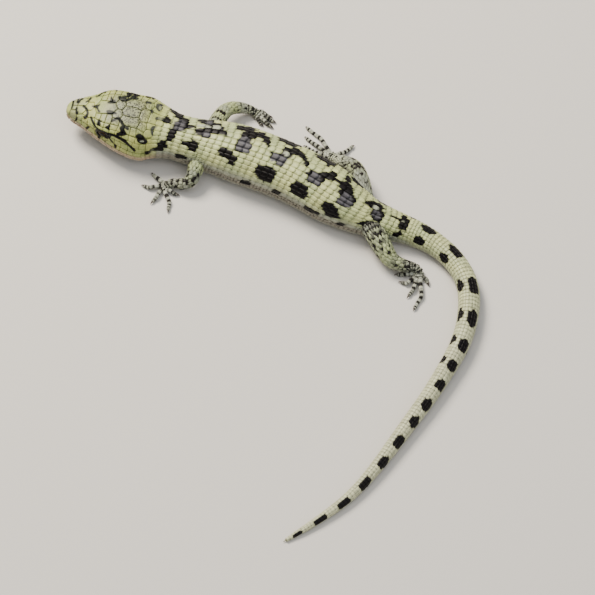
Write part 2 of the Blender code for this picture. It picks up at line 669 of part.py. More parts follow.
def make_head():
    """Head and lower jaw from one hull, parted along the mouth, with sockets, lids, nostrils and ears."""
    scales = material("pale_scales", PALE_SCALES, 0.5)
    at = np.concatenate([(0.0, 0.35, 1.2, 2.4), np.linspace(4.0, HEAD_END, 17)])
    head = loft("head", hull_rings(at, AROUND), scales)
    jaw = loft("lower_jaw", hull_rings(at, AROUND), scales)
    fuse(head, head_shields() + labials("head"))
    fuse(jaw, [*labials("lower_jaw"), shield("mental", MENTAL)])
    settle(head, "DIFFERENCE", [mouth_slit()])
    keep_surface(head, lambda points: max(point.z for point in points))
    settle(jaw, "DIFFERENCE", [mouth_slit()])
    keep_surface(jaw, lambda points: -max(point.z for point in points))
    hollows = []
    lids = []
    for label, side in (("left", 1), ("right", -1)):
        hollows.append(ball("socket_" + label, eye_centre(side), EYE_RADIUS + GAP, 12, 18))
        hollows.append(pit("nostril_" + label, NOSTRIL, NOSTRIL_SIZE, side))
        hollows.append(pit("ear_" + label, EAR, EAR_SIZE, side))
        lids.append(lid_shell("lid_" + label, side))
    cut(head, hollows)
    fuse(head, lids)
    dark = material("dark_eye", DARK_EYE, 0.08)
    for label, side in (("left", 1), ("right", -1)):
        eye = ball("eye_" + label, eye_centre(side), EYE_RADIUS, 9, 14)
        eye.data.materials.append(dark)


def make_trunk_and_tail():
    """The lengths of the hull behind the head, each one solid, with the gap between neighbours."""
    scales = material("pale_scales", PALE_SCALES, 0.5)
    start = HEAD_END + GAP
    for name, end in (*LENGTHS, ("tail_6", SNOUT_VENT + TAIL)):
        last = end - (0.05 if name == "tail_6" else GAP)
        loft(name, scaled_rings(start, last), scales)
        start = end


def trunk_cutter():
    """The trunk swollen by the gap, which clears each leg from it."""
    return loft("trunk_clearance", hull_rings(rings_between(30.0, 96.0, 2.0), AROUND, GAP + 0.05))


def limb_length(name, joints, first, last, spacing, count, finish):
    """A stretch of a limb between two shares of its joints."""
    share = np.linspace(first, last, spacing)
    run = smoothly_through(joints, share)
    near = 0.02
    ahead = smoothly_through(joints, np.clip(share + near, 0, len(joints) - 1))
    behind = smoothly_through(joints, np.clip(share - near, 0, len(joints) - 1))
    return tube(name, run[:, :3], run[:, 3], run[:, 4], count, finish, ahead[:, :3] - behind[:, :3])


def toe(name, root, knuckle, tip):
    """One toe with its claw: it rises to the knuckle, comes down to the floor and ends in a thin point."""
    reach = (tip - knuckle) / np.linalg.norm(tip - knuckle)
    claw_root = tip - CLAW_LENGTH * reach
    path = (
        (*root, 0.72),
        (*(0.5 * (root + knuckle)), TOE_RADIUS + KNUCKLE_LIFT),
        (*knuckle, TOE_RADIUS + 0.35),
        (*(0.5 * (knuckle + claw_root)), TOE_RADIUS),
        (*claw_root, TOE_RADIUS),
        (*(claw_root + 0.45 * CLAW_LENGTH * reach), 0.46),
        (*tip, 0.12),
    )
    radii = TOE_RADIUS * np.array([1.05, 0.95, 1.0, 0.9, 0.8, 0.5, 0.2])
    return tube(name, path, radii, radii, 6)


def make_leg(name):
    """A leg in three nodes, parted at the elbow or knee and at the wrist or ankle, with five toes."""
    side, kind = name.split("_")
    upper, lower, end = (f"{side}_{part}" for part in LIMB_PARTS[kind])
    finish = material("grey_scales", GREY_SCALES, 0.55)
    joints = np.array(LEGS[name])
    run = smoothly_through(joints, np.linspace(0, len(joints) - 1, 200))
    pace = np.linalg.norm(np.diff(run[:, :3], axis=0), axis=1).mean() * 200 / (len(joints) - 1)
    half_gap = 0.5 * GAP / pace
    thigh = limb_length(upper, joints, 0.0, BEND_AT - half_gap, 7, 12, finish)
    limb_length(lower, joints, BEND_AT + half_gap, CUFF_AT - half_gap, 7, 12, finish)
    palm = limb_length(end, joints, CUFF_AT + half_gap, len(joints) - 1.0, 5, 12, finish)
    toes = [toe(f"{name}_toe_{i + 1}", *np.array(places)) for i, places in enumerate(TOES[name])]
    fuse(palm, toes)
    cut(thigh, [trunk_cutter()])


def main():
    for old in list(bpy.data.objects):
        bpy.data.objects.remove(old)
    make_head()
    make_trunk_and_tail()
    for name in LEGS:
        make_leg(name)


main()
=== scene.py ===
"""Mixteca arboreal alligator lizard, life size: the skin, scales, shields, eyes and claws of a still model.

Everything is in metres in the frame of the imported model. The tables are in millimetres on a plan whose own zero
is PLAN_MIDDLE away from the part's. A place on the body is a distance from the snout and a share of the way
round: 0 on the crown or back, 1 under the chin or belly, plus on the lizard's left and minus on its right.
"""

import functools
import json
import math

import bmesh
import bpy
import numpy as np
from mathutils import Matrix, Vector

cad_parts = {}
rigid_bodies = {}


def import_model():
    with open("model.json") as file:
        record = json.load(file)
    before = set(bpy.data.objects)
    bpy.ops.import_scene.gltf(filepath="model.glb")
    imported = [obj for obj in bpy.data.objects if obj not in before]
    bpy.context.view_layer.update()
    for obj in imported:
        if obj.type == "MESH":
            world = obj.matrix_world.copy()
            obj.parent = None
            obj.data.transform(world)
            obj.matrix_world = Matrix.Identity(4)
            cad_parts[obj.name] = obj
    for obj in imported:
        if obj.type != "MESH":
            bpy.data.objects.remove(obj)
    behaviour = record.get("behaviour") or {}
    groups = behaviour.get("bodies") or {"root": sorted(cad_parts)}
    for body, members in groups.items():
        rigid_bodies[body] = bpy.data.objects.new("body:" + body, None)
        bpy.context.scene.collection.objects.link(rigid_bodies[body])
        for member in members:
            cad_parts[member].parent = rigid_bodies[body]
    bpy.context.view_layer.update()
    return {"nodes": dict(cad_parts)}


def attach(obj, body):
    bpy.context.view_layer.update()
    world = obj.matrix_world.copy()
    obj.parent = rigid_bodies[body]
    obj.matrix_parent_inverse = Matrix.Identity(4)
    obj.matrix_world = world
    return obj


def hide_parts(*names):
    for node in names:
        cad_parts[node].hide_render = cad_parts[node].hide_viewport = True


bl_info = {
    "name": "Arboreal alligator lizard",
    "version": (1, 0, 0),
    "blender": (4, 5, 0),
    "location": "3D View > Sidebar > Lizard",
    "description": "Builds the scaly skin, head shields, eyes and claws of a life-size alligator lizard",
    "category": "Object",
}

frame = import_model()

# Driving dimensions, in millimetres
SNOUT_VENT = 86.0
TAIL = 118.0
WHOLE = SNOUT_VENT + TAIL
MM = 0.001
PLAN_MIDDLE = (-7.08, -5.87)
SEED = 12
# How far back a row of scales has moved by the middle of the back
ROW_SLANT = 2.6
# Where the rows of scales begin, and where the skin between the head's shields ends
FIRST_ROW = 24.6
HEAD_SKIN_END = 25.4
# The fold along each flank: from where to where along the body, and as shares of the way round
FOLD_ALONG = (34, 85)
FOLD_AROUND = (0.46, 0.6)
# Small scales take the place of large ones this near to the root of a leg
LEG_CLEARANCE = 1.4
# Toes: radius, how far the knuckle stands up, and the length of the claw
TOE_RADIUS = 0.5
KNUCKLE_LIFT = 0.45
CLAW_LENGTH = 1.1
# Eyes: distance behind the snout, distance out and height, then radius, and half the opening of the lids in degrees
EYE_PLACE = (11.8, 4.55, 8.3)
EYE_RADIUS = 1.9
LID_OPENING = (46.0, 28.0)
# The photograph's view: how far off and how high the camera stands, its frame in pixels, and millimetres a pixel
CAMERA_DISTANCE = 800.0
CAMERA_RISE = 60.0
FRAME_PIXELS = 595
PIXEL_SIZE = 0.25
# In metres: how far the scales stay above the floor, and how much of the unwrap one millimetre of skin takes up
FLOOR_GAP = 0.00002
UNWRAP_SCALE = 0.0047

# The backbone seen from above, from the snout to the tip of the tail
BACKBONE = (
    (-59.3, 52.3), (-46.1, 48.6), (-32.9, 44.8), (-27.4, 43.1), (-21.8, 41.6), (-13.1, 38.5),
    (-1.5, 33.2), (8.2, 27.2), (16.0, 22.1), (24.2, 18.9), (30.7, 16.3), (36.1, 12.5), (40.2, 7.5),
    (42.6, 0.5), (42.1, -7.9), (39.9, -15.2), (36.5, -21.8), (33.0, -27.8), (29.2, -33.6), (24.9, -39.9),
    (21.0, -45.6), (17.0, -51.0), (12.2, -56.4), (6.6, -61.0), (1.8, -64.4), (-3.5, -67.8),
)

# Stations along the backbone, each a distance from the snout and a value there
HALF_WIDTHS = (
    (22, 7.9), (26, 6.8), (30, 5.8), (35, 6.0), (40, 6.8), (48, 7.5), (61, 7.3), (72, 7.3), (79, 6.0),
    (86, 4.4), (92, 3.7), (98, 3.15), (105, 2.8), (112, 2.7), (119, 2.68), (127, 2.55), (135, 2.4),
    (142, 2.22), (149, 2.08), (156, 1.94), (164, 1.8), (171, 1.62), (178, 1.42), (185, 1.22), (192, 1.0),
    (198, 0.75), (202, 0.5), (204, 0.3),
)
TOPS = (
    (22, 11.5), (26, 11.0), (30, 10.7), (35, 10.8), (40, 11.2), (48, 11.8), (61, 11.9), (72, 11.4),
    (79, 10.3), (86, 8.4), (92, 7.0), (98, 6.1), (105, 5.5), (112, 5.25), (119, 5.2), (127, 5.0),
    (142, 4.4), (156, 3.85), (171, 3.2), (185, 2.4), (198, 1.5), (204, 0.65),
)
UNDERSIDES = (
    (22, 1.9), (26, 1.3), (30, 0.8), (35, 0.25), (40, -0.15), (60, -0.2), (100, -0.12), (204, -0.05),
)

# Head stations: distance from the snout, and height or distance out from the middle
CROWN = (
    (0, 7.0), (1.2, 8.2), (4, 9.3), (7, 10.2), (9.5, 11.0), (12, 11.6), (16, 12.0), (20, 12.0),
    (24, 11.6), (28, 11.0),
)
BROW_OUT = (
    (0, 0.5), (1.2, 1.6), (4, 2.8), (7, 4.1), (9.5, 5.5), (11.5, 6.1), (14, 6.3), (17, 6.4), (21, 6.8),
    (25, 6.0), (28, 4.9),
)
BROW_DROP = ((0, 0.3), (4, 0.5), (8, 0.7), (11, 0.9), (15, 1.3), (20, 1.9), (28, 2.4))
LORE_OUT = (
    (0, 0.7), (1.2, 2.0), (4, 3.2), (7, 4.4), (9.5, 5.4), (11.5, 6.0), (14, 6.9), (17, 7.5), (21, 8.0),
    (25, 7.3), (28, 6.1),
)
LORE_UP = ((0, 6.6), (4, 7.9), (8, 8.5), (11, 8.8), (15, 8.6), (20, 7.9), (28, 7.2))
LIP_OUT = (
    (0, 0.8), (1.2, 2.3), (3, 3.2), (5, 3.9), (8, 5.3), (11, 6.5), (14, 7.6), (17, 8.3), (20, 8.6), (23, 8.5),
    (26, 7.3), (28, 6.5),
)
LIP_UP = ((0, 6.5), (3, 7.0), (8, 7.0), (11, 6.8), (14, 6.4), (17, 5.8), (20, 5.4), (24, 5.2), (28, 5.0))
MOUTH_UP = ((0, 6.1), (6, 6.0), (10, 5.6), (14, 5.3), (18, 4.6), (22, 4.3), (28, 4.1))
JAW_OUT = (
    (0, 0.6), (1.2, 2.0), (3, 2.9), (6, 3.9), (9, 5.1), (12, 6.2), (16, 7.3), (20, 7.8), (23, 7.6),
    (26, 6.6), (28, 5.9),
)
JAW_UP = ((0, 5.6), (2, 5.1), (6, 4.7), (12, 3.9), (20, 2.9), (28, 2.2))
CHIN_UP = ((0, 5.3), (1.2, 4.6), (4, 4.1), (10, 3.4), (16, 2.6), (22, 1.9), (28, 1.0))
HEAD_BLEND = (21.0, 27.0)

# Legs: joints as (x, y, z, half-width, half-height), from inside the trunk to the end of the palm or sole
LEGS = {
    "left_arm": (
        (-23.8, 41.0, 5.2, 2.2, 2.2), (-25.6, 36.3, 4.6, 2.0, 2.0), (-26.9, 32.9, 3.3, 1.7, 1.6),
        (-29.4, 32.1, 2.2, 1.4, 1.35), (-32.0, 32.8, 1.5, 1.1, 0.95), (-33.4, 32.3, 1.0, 1.3, 0.75),
        (-34.6, 31.8, 0.75, 1.35, 0.6),
    ),
    "right_arm": (
        (-21.6, 46.3, 5.5, 2.2, 2.2), (-19.6, 51.0, 5.0, 1.95, 1.95), (-17.2, 53.9, 4.0, 1.7, 1.6),
        (-14.1, 54.9, 2.6, 1.4, 1.3), (-11.7, 54.8, 1.6, 1.1, 0.95), (-10.5, 54.2, 1.0, 1.3, 0.75),
        (-9.5, 53.4, 0.75, 1.3, 0.6),
    ),
    "left_leg": (
        (18.2, 19.2, 4.8, 2.9, 2.7), (20.7, 13.3, 4.6, 2.6, 2.4), (23.4, 9.1, 3.4, 2.0, 1.9),
        (26.7, 7.9, 2.3, 1.6, 1.5), (29.5, 7.6, 1.5, 1.2, 1.05), (30.3, 6.4, 1.0, 1.35, 0.8),
        (30.3, 5.0, 0.75, 1.3, 0.62),
    ),
    "right_leg": (
        (16.3, 24.2, 5.2, 2.9, 2.7), (16.0, 29.8, 5.4, 2.5, 2.3), (14.8, 35.0, 4.8, 1.9, 1.9),
        (12.3, 37.9, 3.3, 1.6, 1.5), (10.1, 39.7, 1.8, 1.2, 1.1), (8.9, 40.9, 1.1, 1.35, 0.85),
        (7.8, 42.0, 0.8, 1.3, 0.65),
    ),
}
# Toes, first to fifth: root, knuckle and tip on the plan, as (x, y)
TOES = {
    "left_arm": (
        ((-33.9, 33.0), (-36.1, 35.0), (-37.4, 36.7)), ((-34.8, 32.4), (-37.6, 31.9), (-39.9, 32.9)),
        ((-34.7, 31.2), (-36.0, 28.9), (-37.4, 27.2)), ((-33.9, 30.9), (-32.6, 27.6), (-32.9, 24.5)),
        ((-33.5, 31.4), (-31.6, 30.3), (-29.9, 29.7)),
    ),
    "right_arm": (
        ((-10.4, 54.9), (-9.1, 55.0), (-7.9, 54.9)), ((-9.7, 54.2), (-8.0, 53.9), (-6.3, 53.4)),
        ((-9.2, 53.6), (-7.3, 52.7), (-5.4, 51.8)), ((-9.3, 53.0), (-7.9, 51.4), (-6.1, 50.1)),
        ((-10.2, 53.1), (-9.8, 51.8), (-8.7, 50.7)),
    ),
    "left_leg": (
        ((29.5, 6.4), (26.9, 6.2), (24.2, 6.4)), ((29.4, 5.2), (27.4, 3.7), (25.2, 4.3)),
        ((29.9, 4.5), (28.9, 1.8), (27.3, -0.4)), ((30.8, 4.5), (30.9, 0.0), (28.8, -4.1)),
        ((31.1, 5.7), (32.4, 4.6), (33.0, 3.0)),
    ),
    "right_leg": (
        ((8.4, 40.6), (6.3, 40.8), (4.3, 41.9)), ((7.7, 41.4), (4.7, 42.5), (1.4, 44.9)),
        ((7.5, 42.2), (4.7, 44.8), (1.7, 47.6)), ((8.2, 42.7), (6.0, 46.7), (2.0, 50.7)),
        ((9.4, 41.5), (12.0, 42.5), (14.7, 45.0)),
    ),
}


def eased(stations, at):
    """Values at the given places of a smooth curve through the stations, which overshoots none of them."""
    x, y = np.array(stations, float).T
    step = np.diff(x)
    slope = np.diff(y) / step
    tangent = np.empty(len(x))
    tangent[0], tangent[-1] = slope[0], slope[-1]
    same_way = slope[1:] * slope[:-1] > 0
    total = np.where(same_way, slope[1:] + slope[:-1], 1.0)
    tangent[1:-1] = np.where(same_way, 2 * slope[1:] * slope[:-1] / total, 0.0)
    at = np.clip(np.asarray(at, float), x[0], x[-1])
    i = np.clip(np.searchsorted(x, at, side="right") - 1, 0, len(step) - 1)
    t = (at - x[i]) / step[i]
    rise = t * t * (3 - 2 * t)
    bend = step[i] * t * (1 - t) * ((1 - t) * tangent[i] - t * tangent[i + 1])
    return y[i] + (y[i + 1] - y[i]) * rise + bend


def ramp(value, start, width):
    """From 0 at start, evenly up to 1 at start + width."""
    return np.clip((value - start) / width, 0, 1)


def unit(vectors):
    return vectors / np.maximum(np.linalg.norm(vectors, axis=-1, keepdims=True), 1e-12)


def distances(points):
    """How far along a line of points each of them is."""
    return np.concatenate([[0], np.cumsum(np.linalg.norm(np.diff(points, axis=0), axis=1))])


def smoothly_through(points, share):
    """Points of a cubic spline with natural ends, at each share of the way, one unit for each point given."""
    points = np.asarray(points, float)
    count = len(points)
    system = np.diag(np.full(count, 4.0)) + np.diag(np.ones(count - 1), 1) + np.diag(np.ones(count - 1), -1)
    system[0, 0] = system[-1, -1] = 2.0
    ends = np.vstack([points[1] - points[0], points[2:] - points[:-2], points[-1] - points[-2]])
    slope = np.linalg.solve(system, 3 * ends)
    share = np.asarray(share, float)
    i = np.clip(share.astype(int), 0, count - 2)
    t = (share - i)[:, None]
    rise = t * t * (3 - 2 * t) * (points[i + 1] - points[i])
    return points[i] + rise + t * (1 - t) * ((1 - t) * slope[i] - t * slope[i + 1])


def backbone_table():
    """Fine points along the backbone and how far each is from the snout, scaled to the whole length."""
    points = smoothly_through(BACKBONE, np.linspace(0, len(BACKBONE) - 1, 2000))
    far = distances(points)
    return points, far * WHOLE / far[-1]


BACKBONE_TABLE = backbone_table()


def backbone(at):
    """Place on the plan and unit direction to the lizard's left, at each distance from the snout."""
    points, far = BACKBONE_TABLE
    reach = 0.6
    place, ahead, behind = (
        np.stack([np.interp(at + step, far, points[:, i]) for i in (0, 1)], -1) for step in (0, reach, -reach)
    )
    heading = unit(ahead - behind)
    return place, np.stack([heading[:, 1], -heading[:, 0]], -1)


def head_section(at, around):
    """Half outline of the head, from the crown down the left side to the chin: a curve through nine points."""
    crown = eased(CROWN, at)
    brow_out = eased(BROW_OUT, at)
    brow_up = crown - eased(BROW_DROP, at)
    lip_out = eased(LIP_OUT, at)
    jaw_out = eased(JAW_OUT, at)
    chin = eased(CHIN_UP, at)
    zero = np.zeros_like(crown)
    corners = (
        (zero, crown),
        (0.55 * brow_out, crown - 0.15 * (crown - brow_up)),
        (brow_out, brow_up),
        (eased(LORE_OUT, at), eased(LORE_UP, at)),
        (lip_out, eased(LIP_UP, at)),
        (0.98 * lip_out, eased(MOUTH_UP, at)),
        (jaw_out, eased(JAW_UP, at)),
        (0.55 * jaw_out, chin + 0.2),
        (zero, chin),
    )
    keys = np.array(corners).transpose(2, 0, 1)
    mirrored_start = keys[:, 1:2] * (-1, 1)
    mirrored_end = keys[:, -2:-1] * (-1, 1)
    keys = np.concatenate([mirrored_start, keys, mirrored_end], axis=1)
    share = around * 8
    i = np.clip(share.astype(int), 0, 7)
    t = (share - i)[None, :, None]
    before, start, end, after = keys[:, i], keys[:, i + 1], keys[:, i + 2], keys[:, i + 3]
    return 0.5 * (
        2 * start + (end - before) * t + (2 * before - 5 * start + 4 * end - after) * t * t
        + (3 * start - before - 3 * end + after) * t ** 3
    )


def trunk_section(at, around):
    """Half outline of the neck, trunk or tail: a superellipse, fuller below, rounder towards the tail."""
    half_width = eased(HALF_WIDTHS, at)[:, None]
    top = eased(TOPS, at)[:, None]
    under = eased(UNDERSIDES, at)[:, None]
    square = 1 - ramp(at, 80, 25)[:, None]
    angle = np.pi * around[None, :]
    out = half_width * np.abs(np.sin(angle)) ** (1 - 0.14 * square)
    middle = under + (0.5 - 0.05 * square) * (top - under)
    above = (top - middle) * np.abs(np.cos(angle)) ** (1 - 0.08 * square)
    below = (middle - under) * np.abs(np.cos(angle)) ** (1 - 0.3 * square)
    return np.stack([out, np.where(np.cos(angle) > 0, middle + above, middle - below)], -1)


def half_section(at, around):
    """Half outline anywhere: the head's, blended into the trunk's behind the jaws."""
    start, end = HEAD_BLEND
    t = np.clip((at - start) / (end - start), 0, 1)[:, None, None]
    mix = t * t * (3 - 2 * t)
    head = head_section(np.minimum(at, 28.0), around)
    return head * (1 - mix) + trunk_section(np.maximum(at, 22.0), around) * mix


# Black markings of the back and flanks, each an outline of (distance from the snout, share of the way round);
# the low ones are partly black spots and partly painted shade under the flank
BLACK_MARKS = {
    "nape_saddle": (
        (26.3, -0.38), (29.3, -0.34), (30.2, -0.24), (31.6, -0.16), (32.8, -0.07), (34.4, -0.03), (32.0, 0.0),
        (31.5, 0.05), (30.3, 0.1), (29.8, 0.17), (29.2, 0.24), (28.6, 0.22), (28.3, 0.1), (29.6, -0.03),
        (29.4, -0.1), (28.3, -0.13), (27.0, -0.2),
    ),
    "behind_left_ear": (
        (27.2, 0.219), (28.4, 0.235), (28.9, 0.229), (28.9, 0.333), (28.0, 0.4), (26.9, 0.42), (25.7, 0.4),
        (25.2, 0.375), (25.9, 0.33), (26.6, 0.28),
    ),
    "back_of_head": ((25.2, 0.0), (26.3, -0.073), (26.6, -0.11), (27.4, -0.073), (28.0, 0.0), (27.2, 0.02)),
    "second_saddle": (
        (36.0, -0.28), (37.0, -0.24), (38.6, -0.2), (40.2, -0.17), (41.5, -0.11), (42.2, -0.05), (43.8, -0.01),
        (41.5, -0.02), (39.5, -0.01), (38.8, 0.05), (38.0, 0.08), (36.6, 0.08), (36.0, 0.04), (34.4, 0.02),
        (34.6, -0.02), (36.5, -0.04), (37.2, -0.06), (36.2, -0.12), (35.0, -0.2),
    ),
    "third_saddle": (
        (45.9, 0.0), (46.8, -0.07), (47.0, -0.15), (49.0, -0.19), (51.0, -0.22), (52.8, -0.18), (53.8, -0.1),
        (55.0, -0.04), (54.2, -0.01), (52.8, -0.05), (52.0, -0.09), (50.5, -0.09), (49.6, -0.05), (49.4, 0.0),
        (50.3, 0.08), (48.8, 0.1), (48.3, 0.13), (46.4, 0.12), (45.5, 0.06),
    ),
    "fourth_saddle": (
        (55.0, 0.0), (57.6, -0.02), (57.8, -0.09), (58.8, -0.13), (60.2, -0.17), (62.5, -0.15), (64.2, -0.1),
        (65.3, -0.04), (66.6, 0.0), (65.0, 0.0), (63.8, -0.05), (62.0, -0.08), (60.9, -0.05), (60.4, 0.0),
        (60.4, 0.08), (58.5, 0.1), (56.8, 0.08), (55.6, 0.05),
    ),
    "fifth_saddle": (
        (66.6, 0.0), (68.5, -0.02), (70.2, -0.04), (71.0, -0.12), (72.5, -0.1), (73.5, -0.05), (75.5, -0.09),
        (76.8, -0.14), (78.6, -0.06), (80.4, 0.0), (81.0, 0.04), (80.2, 0.1), (78.6, 0.16), (77.0, 0.18),
        (76.6, 0.1), (75.8, 0.03), (76.2, 0.0), (74.6, -0.03), (72.3, -0.02), (71.4, 0.03), (71.2, 0.09),
        (69.6, 0.13), (67.6, 0.14), (66.8, 0.09), (66.2, 0.04),
    ),
    "right_hip_line": (
        (72.2, -0.5), (73.1, -0.5), (74.8, -0.25), (76.6, -0.16), (75.4, -0.11), (73.6, -0.25),
    ),
    "right_flank_dot": ((68.5, -0.19), (69.9, -0.19), (70.0, -0.14), (68.6, -0.14)),
    "hip_saddle": (
        (82.4, -0.03), (83.6, -0.1), (85.2, -0.18), (86.6, -0.2), (87.4, -0.12), (87.6, -0.03), (88.5, 0.04),
        (88.3, 0.15), (87.2, 0.21), (85.6, 0.19), (85.0, 0.1), (85.2, 0.03), (84.2, 0.0),
    ),
    "tail_root_saddle": (
        (92.6, -0.2), (93.9, -0.12), (94.9, -0.04), (94.8, 0.06), (94.6, 0.18), (92.2, 0.16), (93.0, 0.1),
        (92.2, 0.05), (91.0, 0.0), (89.8, 0.0), (90.2, -0.04), (92.4, -0.04),
    ),
    "flank_1": (
        (34.2, 0.11), (35.0, 0.12), (36.2, 0.15), (36.7, 0.22), (36.2, 0.28), (34.5, 0.28), (32.9, 0.24),
        (32.3, 0.19), (33.0, 0.16), (34.0, 0.15),
    ),
    "flank_2": (
        (43.0, 0.12), (44.4, 0.13), (46.2, 0.14), (47.3, 0.17), (47.9, 0.22), (47.2, 0.25), (47.3, 0.31),
        (45.8, 0.31), (45.4, 0.26), (43.0, 0.22), (42.2, 0.18), (42.8, 0.16),
    ),
    "flank_3": (
        (53.8, 0.17), (55.5, 0.18), (56.2, 0.15), (58.4, 0.15), (58.9, 0.22), (59.3, 0.3), (58.5, 0.36),
        (56.2, 0.38), (54.4, 0.35), (52.9, 0.25),
    ),
    "flank_4": (
        (64.4, 0.19), (66.5, 0.17), (69.0, 0.2), (69.7, 0.27), (69.0, 0.34), (66.5, 0.37), (64.4, 0.34),
        (63.6, 0.27),
    ),
    "flank_5": (
        (74.8, 0.21), (76.5, 0.2), (78.2, 0.23), (78.8, 0.3), (79.0, 0.37), (77.2, 0.41), (75.2, 0.4),
        (74.6, 0.33), (73.5, 0.27),
    ),
    "flank_6": ((82.3, 0.33), (84.0, 0.27), (85.6, 0.2), (86.3, 0.25), (86.9, 0.33), (86.6, 0.38), (84.5, 0.37)),
    "flank_7": ((93.3, 0.16), (94.0, 0.28), (93.3, 0.38), (91.2, 0.4), (92.4, 0.3)),
    # The low patches are partly black spots and partly painted shade along the lower flank, on both sides.
    "low_1": ((30.5, 0.4), (33.6, 0.38), (34.2, 0.46), (31.5, 0.5)),
    "low_2": ((49.8, 0.45), (53.0, 0.43), (53.2, 0.5), (50.0, 0.52)),
    "low_3": ((59.0, 0.43), (61.0, 0.4), (62.8, 0.41), (61.0, 0.49), (59.0, 0.49)),
    "low_4": ((68.5, 0.46), (71.0, 0.41), (74.4, 0.42), (73.8, 0.46), (70.6, 0.5)),
    "low_5": ((78.4, 0.44), (80.2, 0.43), (80.2, 0.5), (78.6, 0.5)),
}
# Grey glossy hearts of the saddles: centre and half sizes
GREY_HEARTS = {
    "nape": (30.4, -0.02, 1.2, 0.1), "second": (37.5, 0.03, 1.1, 0.05), "second_right": (37.0, -0.16, 1.0, 0.06),
    "third": (48.0, 0.03, 2.0, 0.07), "third_rear": (48.9, 0.07, 1.2, 0.03), "fourth": (56.7, 0.04, 1.1, 0.05),
    "fourth_rear": (59.3, 0.05, 1.2, 0.06), "fifth": (68.7, 0.07, 1.9, 0.06), "sixth": (78.4, 0.09, 1.7, 0.09),
    "hip": (86.4, 0.08, 1.0, 0.08),
}
# Pale flecks inside the saddles
PALE_FLECKS = {
    "second": (39.8, -0.1, 0.9, 0.035), "second_front": (36.6, -0.07, 1.5, 0.03),
    "fourth": (59.3, -0.04, 0.6, 0.03), "hip": (85.9, -0.03, 0.8, 0.035), "tail_root": (93.2, 0.0, 0.5, 0.03),
}
# Blotches down the tail: place of each and its half length along the tail
TAIL_BLOTCHES = (
    (99.6, 2.0), (108.3, 2.3), (118.4, 2.5), (127.3, 2.3), (134.9, 1.8), (141.1, 1.5), (147.2, 1.5), (153.4, 1.7),
    (159.0, 1.6), (165.6, 1.9), (172.3, 1.8), (179.3, 2.1), (186.4, 1.9), (193.4, 2.0), (200.2, 1.4),
)
